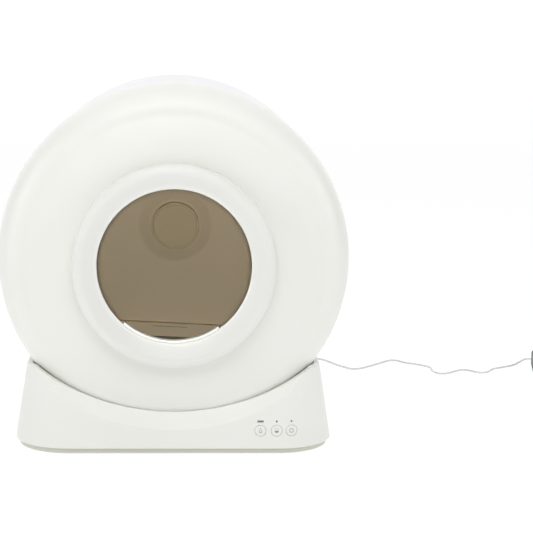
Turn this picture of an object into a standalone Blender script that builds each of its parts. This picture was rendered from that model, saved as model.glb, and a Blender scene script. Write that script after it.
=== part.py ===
"""A self cleaning litter box: a wheel shaped drum that turns on rollers in a cradle base.

Metres, +Z up. The object faces -Y and stands on z = 0 with its middle over the origin.
The drum turns about a level axis along Y. Run with: blender --background --python part.py
"""
import math

import bmesh
import bpy
from mathutils import Matrix, Vector

# Whole object
OVERALL_DEPTH = 0.520        # crest of the entry ring to the back face of the drum
DRUM_RADIUS = 0.265          # widest circle of the drum, just behind its rounded front
DRUM_FLOOR_GAP = 0.025       # the drum's lowest point above the floor
DRUM_TURN = math.radians(2.6)  # how far past level the drum has stopped
WALL = 0.003                 # moulded walls
FIT = 0.0003                 # between pieces that touch
OVERRUN = 0.010              # cutters reach past what they cut
MERGE = 0.00001              # points closer than this are one

# Drum shells
RING_PROUD = 0.030           # the entry ring stands this far out of the drum's face
FACE_DOME = 0.015            # fall of the domed face, from the ring to the rounding
DOME_POWER = 1.6             # how late the dome falls
ROUNDING_WIDTH = 0.043       # the front rounding, across the radius
ROUNDING_DEPTH = 0.048       # the same rounding, along the axis
FRONT_RIM_LENGTH = 0.042     # straight rim behind the front rounding
REAR_STEP = 0.003            # the rear shell is this much smaller in radius
REAR_ROUNDING = 0.036
PANEL_SEAT = 0.008           # the barrel's rebate under the edge of the back panel
HUB_CUP_RADIUS = 0.038
SEAM_GAP = 0.0006            # the shadow gap round each seam

# Entry ring and lip
OPENING_RADIUS = 0.1142
RING_RADIUS = 0.1508
RING_CREST_ROUND = 0.011
RING_FUNNEL_DEPTH = 0.009
FUNNEL_FLARE_SHARE = 0.4     # of the funnel's depth, at its inner edge
FUNNEL_STEP = 0.003
CREST_TURN = math.radians(112)
RING_SLEEVE = 0.044          # from the crest to the inner end of the sleeve
LIP_HALF_ANGLE = math.radians(38.5)
LIP_THICKNESS = 0.0034
LIP_LENGTH = 0.026

# Litter chamber and what it holds
CHAMBER_GAP = 0.0286         # from the drum's widest circle in to the chamber
CHAMBER_ROUNDING = 0.008
CHAMBER_EDGE_SHARE = 1.3     # of a wall, from the front rounding to the chamber's edge
CHAMBER_BACK_GAP = 0.0285    # back of the chamber to the back of the drum
BOSS_RADIUS = 0.062
BOSS_SLOPE = 0.012
BOSS_RISE = 0.008
HUB_CAP_RADIUS = 0.0418
HUB_CAP_HEIGHT = 0.009
CAP_EDGE_SHARE = 0.35        # of the cap's height, its chamfer
CAP_GROOVE_SHARE = 0.90      # of the cap's radius
CAP_GROOVE = 0.0009
HUB_BOLT_RADIUS = 0.005
HUB_BOLT_HEAD_RADIUS = 0.011
HUB_BOLT_HEAD_HEIGHT = 0.004
LEDGE_RISE = 0.092           # top of the ledge above the drum's lowest point
LEDGE_DEPTH = 0.012
MAT_RISE = 0.066             # top of the mat's back flange above the same
MAT_THICKNESS = 0.004
MAT_HALF_ANGLE = math.radians(50)

# Waste bin, its shelf and the sieve
SHELF_RISE_SHARE = 0.4226    # top of the shelf above the axis, of the drum's radius
SHELF_LEFT_SHARE = 0.6226
BIN_WIDTH_SHARE = 0.566      # half the bin's width, of the drum's radius
BIN_CROWN_GAP = 0.053        # from the drum's widest circle in to the bin's crown
BIN_WALL = 0.0025
BIN_FRONT_INSET = 0.085      # drum crest to the front of the bin
BIN_INLET_CUT = 0.020
INLET_LENGTH_SHARE = 0.8
BIN_DOOR_DEPTH = 0.020
BIN_CLEARANCE = 0.0020
BIN_TRAVEL = 0.300
GRIP_WIDTH = 0.100
GRIP_HEIGHT = 0.024
GRIP_RISE_SHARE = 0.62       # of the door's height
LATCH_WIDTH = 0.030
LATCH_HEIGHT = 0.014
LATCH_BOLT = 0.010
LATCH_TRAVEL = 0.006
SIEVE_FOOT_ANGLE = math.radians(205)
SIEVE_THICKNESS = 0.003
SIEVE_SLOT = 0.013
SIEVE_BAR = 0.010
SIEVE_RAIL = 0.014
SIEVE_SET_SHARE = 0.3        # of its thickness, below the shelf

# Ring gear and drive
PITCH_GAP = 0.015            # from the drum's widest circle in to the pitch circle
RING_TEETH = 80
PINION_TEETH = 10
TIP_SHARE = 0.7              # of a module, from the pitch circle to a tooth's tip
ROOT_SHARE = 0.95
TOOTH_WIDTH_SHARE = 0.42     # of the pitch
PRESSURE_ANGLE = math.radians(20)
RING_GEAR_WIDTH = 0.018
RING_GEAR_GAP = 0.025        # from the drum's widest circle in to the gear's bore
PINION_WIDTH = 0.014
PINION_SHAFT_RADIUS = 0.004
DRIVE_ANGLE = math.radians(-38)
GEARBOX_NOSE = 0.012
GEARBOX_LENGTH = 0.028
MOTOR_OFFSET = 0.026
MOTOR_RADIUS = 0.018
MOTOR_LENGTH = 0.050
MOTOR_PLATE = 0.0025
PLATE_RISE_SHARE = 0.6       # of the motor's radius, over its middle

# Support rollers
ROLLER_RADIUS = 0.018
ROLLER_WIDTH = 0.020
ROLLER_ANGLE = math.radians(36)
TYRE_THICKNESS = 0.005
TYRE_BEND_SHARE = 0.3        # of the tyre's thickness
HUB_STEP_SHARE = 0.7         # of the hub's radius
AXLE_RADIUS = 0.004
CHEEK = 0.003
CHEEK_WIDTH = 0.020
REAR_ROLLER_SETBACK = 0.066  # back of the drum to the middle of the rear rollers
WINDOW_CLEARANCE = 0.002

# Cradle base
BASE_WIDTH_SHARE = 0.9158    # half the base's width, of the drum's radius
BASE_SETBACK = 0.0255        # the base ends this far short of the drum, front and back
BASE_BOTTOM = 0.011          # lower edge of the housing above the floor
BASE_TOP_SHARE = 0.4943      # tips of the cradle's ears above the floor, of the drum's radius
FRONT_DRAFT = math.radians(4.5)
SIDE_DRAFT = math.radians(9.4)
CORNER_AT_BOTTOM = 0.086
CORNER_AT_TOP = 0.058
TROUGH_CLEARANCE = 0.007
LIP_ARC_SHARE = 1.3208       # upper edge of the bright front bevel, of the drum's radius
LIP_LOW_SHARE = 0.2415       # lowest point of that edge above the floor, of the drum's radius
BEVEL_DROP = 0.026
BEVEL_DEPTH = 0.0135
CREST_LAND = 0.0015
FACE_CLEARANCE = 0.003       # cradle lip to the drum's face
LIP_WALL_SHARE = 0.65        # of a wall, the thickness behind the lip
PLINTH_RECESS = 0.006
TRAY_FLOOR = 0.003
TRAY_LIFT = 0.002            # underside of the plinth above the floor
FOOT_RADIUS = 0.016
FOOT_HEIGHT = 0.003
FOOT_INSET = 0.060

# Control panel
BUTTON_INSETS = (0.1121, 0.0876, 0.0651)  # from the base's side
BUTTON_RISE_SHARE = 0.1445   # above the floor, of the drum's radius
BUTTON_RADIUS = 0.0083
BUTTON_PROUD = 0.0004
BUTTON_TRAVEL = 0.0010
BUTTON_STEM = 0.0020
LAMP_RISE = 0.0140
LAMP_RADIUS = 0.0012
LAMP_BAR_WIDTH = 0.0090
BOARD_THICKNESS = 0.0016
BOARD_MARGIN = 0.011
BOARD_HALF_HEIGHT = 0.014

# Lead, its plug and its adapter
SOCKET_INSET = 0.1027        # from the base's side
SOCKET_RISE_SHARE = 0.1358   # above the floor, of the drum's radius
SOCKET_RADIUS = 0.0055
SOCKET_LENGTH = 0.014
BARREL_RADIUS = 0.0027
BARREL_LENGTH = 0.0095
PLUG_RADIUS = 0.0050
PLUG_LENGTH = 0.012
PLUG_BEND_SHARE = 0.2        # of the plug's radius
PLUG_NECK_SHARE = 0.8
CORD_DIAMETER = 0.0036
COIL_RADIUS = 0.0215
COIL_TURNS = 6.875
COIL_START = math.radians(225)  # where the lead comes onto the coil
COIL_TAIL = 0.028            # from the coil to the adapter's strain relief
COIL_PITCH_SHARE = 1.14      # from turn to turn, in diameters
COIL_CLIMB_TURNS = 0.5       # from the lower layer to the upper
COIL_LOOP_POINTS = 24
COIL_AWAY = 0.598            # from the socket to the coil's middle, to the right
COIL_BEHIND = 0.2275         # from the base's back to the coil's middle
TIE_WIDTH = 0.006
TIE_THICKNESS = 0.0015
RELIEF_RADIUS = 0.0045
RELIEF_LENGTH = 0.022
RELIEF_TIP_SHARE = 0.6       # of the relief's radius
ADAPTER_EDGE = 0.004
ADAPTER_WIDTH = 0.048
ADAPTER_LENGTH = 0.070
ADAPTER_HEIGHT = 0.030
BLADE_GAP = 0.0127
BLADE_WIDTH = 0.0063
BLADE_THICKNESS = 0.0015
BLADE_LENGTH = 0.0175

# Fineness
TURN_STEPS = 44
TROUGH_STEPS = 60
MOUTH_STEPS = 80
CAP_STEPS = 24
SMALL_STEPS = 16
TINY_STEPS = 12
STRIP_STEPS = 16
CORNER_STEPS = 7
ROUNDING_STEPS = 5
SMOOTH_ANGLE = math.radians(35)

# Places that follow from the sizes
FRONT = -OVERALL_DEPTH / 2
BACK = OVERALL_DEPTH / 2
AXIS_HEIGHT = DRUM_FLOOR_GAP + DRUM_RADIUS
FACE = FRONT + RING_PROUD                      # the drum's face under the ring
ROUND_START = FACE + FACE_DOME
RIM_START = ROUND_START + ROUNDING_DEPTH
SEAM = RIM_START + FRONT_RIM_LENGTH
REAR_RADIUS = DRUM_RADIUS - REAR_STEP
PANEL_RADIUS = REAR_RADIUS - REAR_ROUNDING
CHAMBER_RADIUS = DRUM_RADIUS - CHAMBER_GAP
SHELF_RISE = DRUM_RADIUS * SHELF_RISE_SHARE
SHELF_LEFT = DRUM_RADIUS * SHELF_LEFT_SHARE
BIN_HALF_WIDTH = DRUM_RADIUS * BIN_WIDTH_SHARE
BIN_CROWN_RADIUS = DRUM_RADIUS - BIN_CROWN_GAP
RING_GEAR_BORE = DRUM_RADIUS - RING_GEAR_GAP
RING_GEAR_FRONT = SEAM + SEAM_GAP
RING_GEAR_BACK = RING_GEAR_FRONT + RING_GEAR_WIDTH
SHOULDER = RING_GEAR_BACK + SEAM_GAP
PITCH_RADIUS = DRUM_RADIUS - PITCH_GAP
GEAR_MODULE = 2 * PITCH_RADIUS / RING_TEETH
PINION_PITCH = GEAR_MODULE * PINION_TEETH / 2
CHAMBER_INNER = CHAMBER_RADIUS * math.cos(math.pi / TURN_STEPS) - WALL
CHAMBER_BACK = BACK - CHAMBER_BACK_GAP
BACK_WALL = CHAMBER_BACK - WALL
LEDGE_FRONT = BACK_WALL - FIT - LEDGE_DEPTH
LEDGE_DROP = DRUM_RADIUS - LEDGE_RISE
MAT_DROP = DRUM_RADIUS - MAT_RISE
BASE_HALF_WIDTH = DRUM_RADIUS * BASE_WIDTH_SHARE
BASE_HALF_DEPTH = OVERALL_DEPTH / 2 - BASE_SETBACK
BASE_TOP = DRUM_RADIUS * BASE_TOP_SHARE
TROUGH_RADIUS = DRUM_RADIUS + TROUGH_CLEARANCE
LIP_BACK = ROUND_START - FACE_CLEARANCE
LIP_CREST = LIP_BACK - CREST_LAND
LIP_ARC_RADIUS = DRUM_RADIUS * LIP_ARC_SHARE
ARC_CENTRE = DRUM_RADIUS * LIP_LOW_SHARE + LIP_ARC_RADIUS
BUTTON_XS = tuple(BASE_HALF_WIDTH - inset for inset in BUTTON_INSETS)
BUTTON_HEIGHT = DRUM_RADIUS * BUTTON_RISE_SHARE
SOCKET_X = BASE_HALF_WIDTH - SOCKET_INSET
SOCKET_HEIGHT = DRUM_RADIUS * SOCKET_RISE_SHARE
COIL_X = SOCKET_X + COIL_AWAY
COIL_Y = BASE_HALF_DEPTH + COIL_BEHIND
TRAY_TOP = TRAY_LIFT + TRAY_FLOOR
PAN_UNDERSIDE = AXIS_HEIGHT - TROUGH_RADIUS - WALL

TAUPE = (0.27, 0.235, 0.19)
WHITE = (0.84, 0.83, 0.79)
COOL_WHITE = (0.82, 0.82, 0.83)


def material(name, colour, roughness=0.45, metallic=0.0):
    found = bpy.data.materials.get(name)
    if found:
        return found
    made = bpy.data.materials.new(name)
    made.use_nodes = True
    shader = made.node_tree.nodes["Principled BSDF"]
    shader.inputs["Base Color"].default_value = (*colour, 1.0)
    shader.inputs["Roughness"].default_value = roughness
    shader.inputs["Metallic"].default_value = metallic
    return made


def place(obj, name, parent, at=(0, 0, 0), turn=(0, 0, 0), finish=None, home=None):
    """Names an object, files it, and sets it under its parent."""
    obj.name = name
    for collection in list(obj.users_collection):
        collection.objects.unlink(obj)
    (home or PARTS).objects.link(obj)
    obj.parent = parent
    obj.location = at
    obj.rotation_euler = turn
    if finish:
        obj.data.materials.clear()
        obj.data.materials.append(finish)
    return obj


def smooth(obj):
    obj.data.shade_smooth()
    obj.data.set_sharp_from_angle(angle=SMOOTH_ANGLE)
    return obj


def empty(name, parent=None, at=(0, 0, 0), turn=(0, 0, 0)):
    """An empty on a joint's axis, for the pieces that move with it."""
    return place(bpy.data.objects.new(name, None), name, parent, at, turn)


def cutter(obj, name, parent=None, at=(0, 0, 0), turn=(0, 0, 0)):
    place(obj, name, parent, at, turn, home=CUTTERS)
    obj.hide_render = True
    obj.display_type = "WIRE"
    return obj


def boolean(obj, tool, operation="DIFFERENCE"):
    step = obj.modifiers.new(tool.name, "BOOLEAN")
    step.operation = operation
    step.solver = "EXACT"
    step.object = tool
    return obj


def from_bmesh(mesh_name, bm):
    mesh = bpy.data.meshes.new(mesh_name)
    bm.to_mesh(mesh)
    bm.free()
    return bpy.data.objects.new(mesh_name, mesh)


def cylinder(radius, length, steps=SMALL_STEPS, taper=None):
    """A cylinder or cone along Z, its middle at the origin; taper is the radius at its +Z end."""
    bm = bmesh.new()
    bmesh.ops.create_cone(bm, cap_ends=True, segments=steps, radius1=radius,
                          radius2=radius if taper is None else taper, depth=length)
    return from_bmesh("cylinder", bm)


def block(x, y, z):
    bm = bmesh.new()
    bmesh.ops.create_cube(bm, size=1.0)
    bmesh.ops.scale(bm, vec=(x, y, z), verts=bm.verts)
    return from_bmesh("block", bm)


def arc(centre, radius, start, end, steps, squash=1.0):
    """Points on an arc, both ends included; squash stretches it along its second axis."""
    points = []
    for i in range(steps + 1):
        a = start + (end - start) * i / steps
        points.append((centre[0] + radius * math.cos(a), centre[1] + radius * squash * math.sin(a)))
    return points


def turned(profile, closed=True, wall=None, steps=TURN_STEPS):
    """A profile of (radius, along) points turned about the axis.

    A closed profile is a solid section. An open one is an outer skin that Solidify gives its wall.
    """
    area = sum(a[0] * b[1] - b[0] * a[1] for a, b in zip(profile, profile[1:] + profile[:1]))
    if closed and area > 0:
        profile = profile[::-1]
    bm = bmesh.new()
    verts = [bm.verts.new((r, 0, z)) for r, z in profile]
    pairs = list(zip(verts, verts[1:]))
    if closed and max(profile[0][0], profile[-1][0]) > 0:
        pairs.append((verts[-1], verts[0]))
    for a, b in pairs:
        bm.edges.new((a, b))
    obj = from_bmesh("turned", bm)
    screw = obj.modifiers.new("turn", "SCREW")
    screw.axis = "Z"
    screw.steps = steps
    screw.render_steps = steps
    screw.use_merge_vertices = True
    screw.merge_threshold = MERGE
    screw.use_normal_calculate = False
    if wall:
        solid = obj.modifiers.new("wall", "SOLIDIFY")
        solid.thickness = wall
        solid.offset = -1
        solid.use_even_offset = True
    return obj


ALONG_Y = (-math.pi / 2, 0, 0)     # local Z runs to +Y
FACING = (math.pi / 2, 0, 0)       # local X and Y lie in the XZ plane, as seen from the front


def flat(outlines, thickness):
    """Flat outlines in (x, z), filled, with a thickness along Y. The first is the edge, others holes."""
    curve = bpy.data.curves.new("flat", "CURVE")
    curve.dimensions = "2D"
    curve.fill_mode = "BOTH"
    curve.extrude = thickness / 2
    for outline in outlines:
        spline = curve.splines.new("POLY")
        spline.points.add(len(outline) - 1)
        for point, (x, y) in zip(spline.points, outline):
            point.co = (x, y, 0, 1)
        spline.use_cyclic_u = True
    return bpy.data.objects.new("flat", curve)


def meshed(obj):
    """A curve object made a closed mesh object, so that it can be cut."""
    bpy.context.scene.collection.objects.link(obj)
    bpy.context.view_layer.update()
    depsgraph = bpy.context.evaluated_depsgraph_get()
    mesh = bpy.data.meshes.new_from_object(obj.evaluated_get(depsgraph))
    bm = bmesh.new()
    bm.from_mesh(mesh)
    bmesh.ops.remove_doubles(bm, verts=bm.verts, dist=MERGE)
    bmesh.ops.recalc_face_normals(bm, faces=bm.faces)
    bm.to_mesh(mesh)
    bm.free()
    bpy.data.objects.remove(obj)
    return bpy.data.objects.new("meshed", mesh)


def circle(radius, steps, centre=(0, 0)):
    return arc(centre, radius, 0, 2 * math.pi * (steps - 1) / steps, steps - 1)


def gear_outline(teeth, flank_points):
    """Teeth with flanks that narrow towards their tips, counted from a tooth at angle zero."""
    pitch = GEAR_MODULE * teeth / 2
    tip, root = pitch + GEAR_MODULE * TIP_SHARE, pitch - GEAR_MODULE * ROOT_SHARE
    points = []
    for tooth in range(teeth):
        middle = 2 * math.pi * tooth / teeth
        half_width = math.pi * GEAR_MODULE * TOOTH_WIDTH_SHARE / 2
        side = []
        for i in range(flank_points):
            share = i / (flank_points - 1)
            radius = root + (tip - root) * share
            lean = math.tan(PRESSURE_ANGLE) * (radius - pitch)
            side.append((radius, (half_width - lean) / radius))
        for radius, half in side:
            points.append((radius * math.cos(middle - half), radius * math.sin(middle - half)))
        for radius, half in reversed(side):
            points.append((radius * math.cos(middle + half), radius * math.sin(middle + half)))
    return points


def face_at(radius):
    """How far along the axis the drum's domed face stands at a radius."""
    share = (radius - RING_RADIUS) / (DRUM_RADIUS - ROUNDING_WIDTH - RING_RADIUS)
    return FACE + FACE_DOME * max(share, 0) ** DOME_POWER


def front_shell(axis, finish):
    hole = OPENING_RADIUS + WALL + FIT
    dome_end = DRUM_RADIUS - ROUNDING_WIDTH
    profile = [(RING_GEAR_BORE + FIT, SEAM), (DRUM_RADIUS, SEAM)]
    squash = ROUNDING_DEPTH / ROUNDING_WIDTH
    profile += arc((dome_end, RIM_START), ROUNDING_WIDTH, 0, -math.pi / 2, ROUNDING_STEPS, squash)
    for share in (1 / 2, 0):
        radius = RING_RADIUS + (dome_end - RING_RADIUS) * share
        profile.append((radius, face_at(radius)))
    profile.append((hole, FACE))
    shell = turned(profile, closed=False, wall=WALL)
    return smooth(place(shell, "drum_front_shell", axis, turn=ALONG_Y, finish=finish))


def rear_shell(axis, finish):
    """The barrel, its rounded back edge, and a rebate for the back panel."""
    spigot = RING_GEAR_BORE - FIT
    seat = BACK - WALL - FIT
    profile = [(PANEL_RADIUS - PANEL_SEAT, seat), (PANEL_RADIUS, seat)]
    profile += arc((PANEL_RADIUS, BACK - REAR_ROUNDING), REAR_ROUNDING, math.pi / 2, 0, 3)
    profile += [(REAR_RADIUS, SHOULDER), (spigot, SHOULDER), (spigot, SEAM - WALL - FIT)]
    shell = turned(profile, closed=False, wall=WALL)
    smooth(place(shell, "drum_rear_shell", axis, turn=ALONG_Y, finish=finish))


def back_panel(axis, finish):
    """The flat back, set into the barrel's rebate round the hub cup."""
    inner = HUB_CUP_RADIUS + WALL + 2 * FIT
    outer = PANEL_RADIUS - FIT
    disc = turned([(inner, BACK - WALL), (outer, BACK - WALL), (outer, BACK), (inner, BACK)])
    return place(disc, "drum_back_panel", axis, turn=ALONG_Y, finish=finish)


def hub_cup(axis, finish):
    """The moulded cup over the hub bolt, which clamps its floor to the chamber."""
    floor = CHAMBER_BACK - BOSS_RISE + FIT + WALL
    profile = [(HUB_BOLT_RADIUS + FIT, floor), (HUB_CUP_RADIUS - WALL, floor), (HUB_CUP_RADIUS, BACK)]
    cup = turned(profile, closed=False, wall=WALL)
    smooth(place(cup, "hub_cup", axis, turn=ALONG_Y, finish=finish))


def entry_ring(axis, finish):
    """A hollow raised ring: outer flank, rounded crest, funnel and sleeve."""
    crest = RING_RADIUS - RING_CREST_ROUND
    inner_edge = OPENING_RADIUS + RING_FUNNEL_DEPTH * FUNNEL_FLARE_SHARE
    profile = [(OPENING_RADIUS + WALL, FRONT + RING_SLEEVE), (OPENING_RADIUS, FRONT + RING_SLEEVE)]
    profile += [(OPENING_RADIUS, FRONT + RING_FUNNEL_DEPTH + FUNNEL_STEP)]
    profile += [(inner_edge, FRONT + RING_FUNNEL_DEPTH)]
    profile += arc((crest, FRONT + RING_CREST_ROUND), RING_CREST_ROUND, -CREST_TURN, 0, 4)
    profile += [(RING_RADIUS, FACE - FIT), (RING_RADIUS - WALL, FACE - FIT)]
    inner = RING_CREST_ROUND - WALL
    profile += arc((crest, FRONT + RING_CREST_ROUND), inner, 0, -CREST_TURN, 3)
    profile += [(OPENING_RADIUS + WALL, FRONT + RING_FUNNEL_DEPTH + WALL + FIT)]
    ring = turned(profile)
    return smooth(place(ring, "entry_ring", axis, turn=ALONG_Y, finish=finish))


def entry_lip(axis, finish):
    """The strip that lines the bottom of the opening."""
    low = -math.pi / 2
    outer = OPENING_RADIUS - FIT
    outline = arc((0, 0), outer, low - LIP_HALF_ANGLE, low + LIP_HALF_ANGLE, STRIP_STEPS)
    outline += arc((0, 0), outer - LIP_THICKNESS, low + LIP_HALF_ANGLE, low - LIP_HALF_ANGLE, STRIP_STEPS)
    strip = flat([outline], LIP_LENGTH)
    middle = FRONT + RING_FUNNEL_DEPTH + FUNNEL_STEP + LIP_LENGTH / 2
    return place(strip, "entry_lip", axis, at=(0, middle, 0), turn=FACING, finish=finish)


def chamber(axis, finish):
    dome_end = DRUM_RADIUS - ROUNDING_WIDTH
    across = (CHAMBER_RADIUS - dome_end) / ROUNDING_WIDTH
    front = RIM_START - ROUNDING_DEPTH * math.sqrt(1 - across ** 2) + WALL * CHAMBER_EDGE_SHARE
    centre = (CHAMBER_RADIUS - CHAMBER_ROUNDING, CHAMBER_BACK - CHAMBER_ROUNDING)
    rise = CHAMBER_BACK - BOSS_RISE
    profile = [(HUB_BOLT_RADIUS + FIT, rise), (BOSS_RADIUS - BOSS_SLOPE, rise), (BOSS_RADIUS, CHAMBER_BACK)]
    profile += arc(centre, CHAMBER_ROUNDING, math.pi / 2, 0, 2)
    profile += [(CHAMBER_RADIUS, front)]
    cup = turned(profile, closed=False, wall=WALL)
    return smooth(place(cup, "litter_chamber", axis, turn=ALONG_Y, finish=finish))


def hub(axis, white, steel):
    seat = BACK_WALL - BOSS_RISE
    head = seat - FIT - HUB_BOLT_HEAD_HEIGHT
    bolt_back = CHAMBER_BACK - BOSS_RISE + 2 * WALL
    profile = [(0, head), (HUB_BOLT_HEAD_RADIUS, head), (HUB_BOLT_HEAD_RADIUS, seat - FIT),
               (HUB_BOLT_RADIUS, seat - FIT), (HUB_BOLT_RADIUS, bolt_back), (0, bolt_back)]
    bolt = turned(profile, steps=SMALL_STEPS)
    smooth(place(bolt, "hub_bolt", axis, turn=ALONG_Y, finish=steel))
    front = seat - HUB_CAP_HEIGHT
    edge = CAP_EDGE_SHARE * HUB_CAP_HEIGHT
    groove = HUB_CAP_RADIUS * CAP_GROOVE_SHARE
    inner = HUB_CAP_RADIUS - WALL
    profile = [(0, front), (groove - CAP_GROOVE, front), (groove, front + CAP_GROOVE), (groove + CAP_GROOVE, front),
               (HUB_CAP_RADIUS - edge, front), (HUB_CAP_RADIUS, front + edge), (HUB_CAP_RADIUS, seat - FIT),
               (inner, seat - FIT), (inner, front + WALL), (0, front + WALL)]
    cap = turned(profile, steps=CAP_STEPS)
    smooth(place(cap, "hub_cap", axis, turn=ALONG_Y, finish=white))


def chord(drop, radius, steps=STRIP_STEPS):
    """A segment of a disc below a level chord."""
    half = math.acos(drop / radius)
    low = -math.pi / 2
    return arc((0, 0), radius, low - half, low + half, steps)


def ledge_and_mat(axis, taupe, black):
    radius = CHAMBER_INNER - CHAMBER_ROUNDING
    ledge = flat([chord(LEDGE_DROP, radius)], LEDGE_DEPTH)
    place(ledge, "back_ledge", axis, at=(0, LEDGE_FRONT + LEDGE_DEPTH / 2, 0), turn=FACING, finish=taupe)
    low = -math.pi / 2
    outer = CHAMBER_INNER - FIT
    front = RIM_START - ROUNDING_DEPTH / 2
    back = LEDGE_FRONT - FIT
    outline = arc((0, 0), outer, low - MAT_HALF_ANGLE, low + MAT_HALF_ANGLE, STRIP_STEPS)
    outline += arc((0, 0), outer - MAT_THICKNESS, low + MAT_HALF_ANGLE, low - MAT_HALF_ANGLE, STRIP_STEPS)
    mat = meshed(flat([outline], back - front))
    place(mat, "litter_mat", axis, at=(0, (front + back) / 2, 0), turn=FACING, finish=black)
    flange = meshed(flat([chord(MAT_DROP, outer - MAT_THICKNESS / 2)], MAT_THICKNESS))
    cutter(flange, "mat_flange", axis, (0, back - MAT_THICKNESS / 2, 0), FACING)
    boolean(mat, flange, "UNION")


def bin_outline(grow=0.0, steps=12):
    """The waste bin's section: a flat floor, short sides and the drum's curve over it."""
    half = BIN_HALF_WIDTH + grow
    crown = BIN_CROWN_RADIUS + grow
    side = math.acos(half / crown)
    floor = SHELF_RISE + FIT - grow
    return [(-half, floor), (half, floor)] + arc((0, 0), crown, side, math.pi - side, steps)


def waste_bin(axis, shells, grey, white, dark):
    """The drawer at the drum's back: a tub, its door with a grip slot, and the door's latch."""
    slide = empty("bin_slide", axis)
    latch = empty("latch_slide", slide)
    front = FRONT + BIN_FRONT_INSET
    door_front = BACK - BIN_DOOR_DEPTH
    back = door_front - FIT
    window = meshed(flat([bin_outline(BIN_CLEARANCE)], 2 * CHAMBER_BACK_GAP + OVERRUN))
    cutter(window, "bin_window", axis, (0, BACK - CHAMBER_BACK_GAP + OVERRUN / 2, 0), FACING)
    for shell in shells:
        boolean(shell, window)
    tub = meshed(flat([bin_outline()], back - front))
    place(tub, "waste_bin", slide, at=(0, (front + back) / 2, 0), turn=FACING, finish=grey)
    half = BIN_HALF_WIDTH - BIN_WALL
    floor = SHELF_RISE + FIT + BIN_WALL
    top = BIN_CROWN_RADIUS + OVERRUN
    hollow = block(2 * half, back - front - 2 * BIN_WALL, top - floor)
    cutter(hollow, "bin_hollow", slide, (0, (front + back) / 2, (floor + top) / 2))
    boolean(tub, hollow)
    rim = math.sqrt(BIN_CROWN_RADIUS ** 2 - BIN_HALF_WIDTH ** 2)
    inlet = block(4 * BIN_WALL, (back - front) * INLET_LENGTH_SHARE, 2 * BIN_INLET_CUT)
    cutter(inlet, "bin_inlet", slide, (-BIN_HALF_WIDTH, (front + back) / 2, rim))
    boolean(tub, inlet)

    skirt = meshed(flat([bin_outline(BIN_CLEARANCE / 2)], BIN_DOOR_DEPTH))
    place(skirt, "bin_door", slide, at=(0, door_front + BIN_DOOR_DEPTH / 2, 0), turn=FACING, finish=white)
    inside = meshed(flat([bin_outline(BIN_CLEARANCE / 2 - BIN_WALL)], 2 * (BIN_DOOR_DEPTH - WALL)))
    cutter(inside, "door_hollow", slide, (0, door_front, 0), FACING)
    boolean(skirt, inside)
    grip_z = SHELF_RISE + (BIN_CROWN_RADIUS - SHELF_RISE) * GRIP_RISE_SHARE
    outline = arc((GRIP_WIDTH / 2 - GRIP_HEIGHT / 2, 0), GRIP_HEIGHT / 2, -math.pi / 2, math.pi / 2, 8)
    outline += arc((GRIP_HEIGHT / 2 - GRIP_WIDTH / 2, 0), GRIP_HEIGHT / 2, math.pi / 2, 3 * math.pi / 2, 8)
    grip = meshed(flat([outline], 2 * BIN_DOOR_DEPTH))
    cutter(grip, "grip_slot", slide, (0, BACK, grip_z), FACING)
    boolean(skirt, grip)

    pad_z = SHELF_RISE + BIN_CLEARANCE / 2 + BIN_WALL + LATCH_TRAVEL + LATCH_HEIGHT / 2
    hole = block(LATCH_WIDTH + 2 * FIT, 4 * WALL, LATCH_HEIGHT + LATCH_TRAVEL + 2 * FIT)
    cutter(hole, "latch_hole", slide, (0, BACK, pad_z + LATCH_TRAVEL / 2))
    boolean(skirt, hole)
    # The tongue is a detent that ends inside the window's clearance.
    tongue_low = SHELF_RISE - BIN_CLEARANCE + 2 * FIT
    tongue_y = BACK - WALL - LATCH_BOLT / 2 - FIT
    slot = block(LATCH_BOLT + 2 * FIT, LATCH_BOLT / 2 + 2 * FIT, 6 * BIN_WALL)
    cutter(slot, "latch_slot", slide, (0, tongue_y, SHELF_RISE))
    boolean(skirt, slot)
    pad = block(LATCH_WIDTH, WALL + LATCH_BOLT / 2, LATCH_HEIGHT)
    place(pad, "bin_latch", latch, at=(0, BACK - WALL / 2 - LATCH_BOLT / 4, pad_z), finish=dark)
    tongue = block(LATCH_BOLT, LATCH_BOLT / 2, pad_z - tongue_low)
    cutter(tongue, "latch_tongue", latch, (0, tongue_y, (pad_z + tongue_low) / 2))
    boolean(pad, tongue, "UNION")


def reach(start, direction, radius):
    """Distance from a point along a direction to a circle about the origin."""
    b = start[0] * direction[0] + start[1] * direction[1]
    c = start[0] ** 2 + start[1] ** 2 - radius ** 2
    return -b + math.sqrt(b * b - c)


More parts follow.
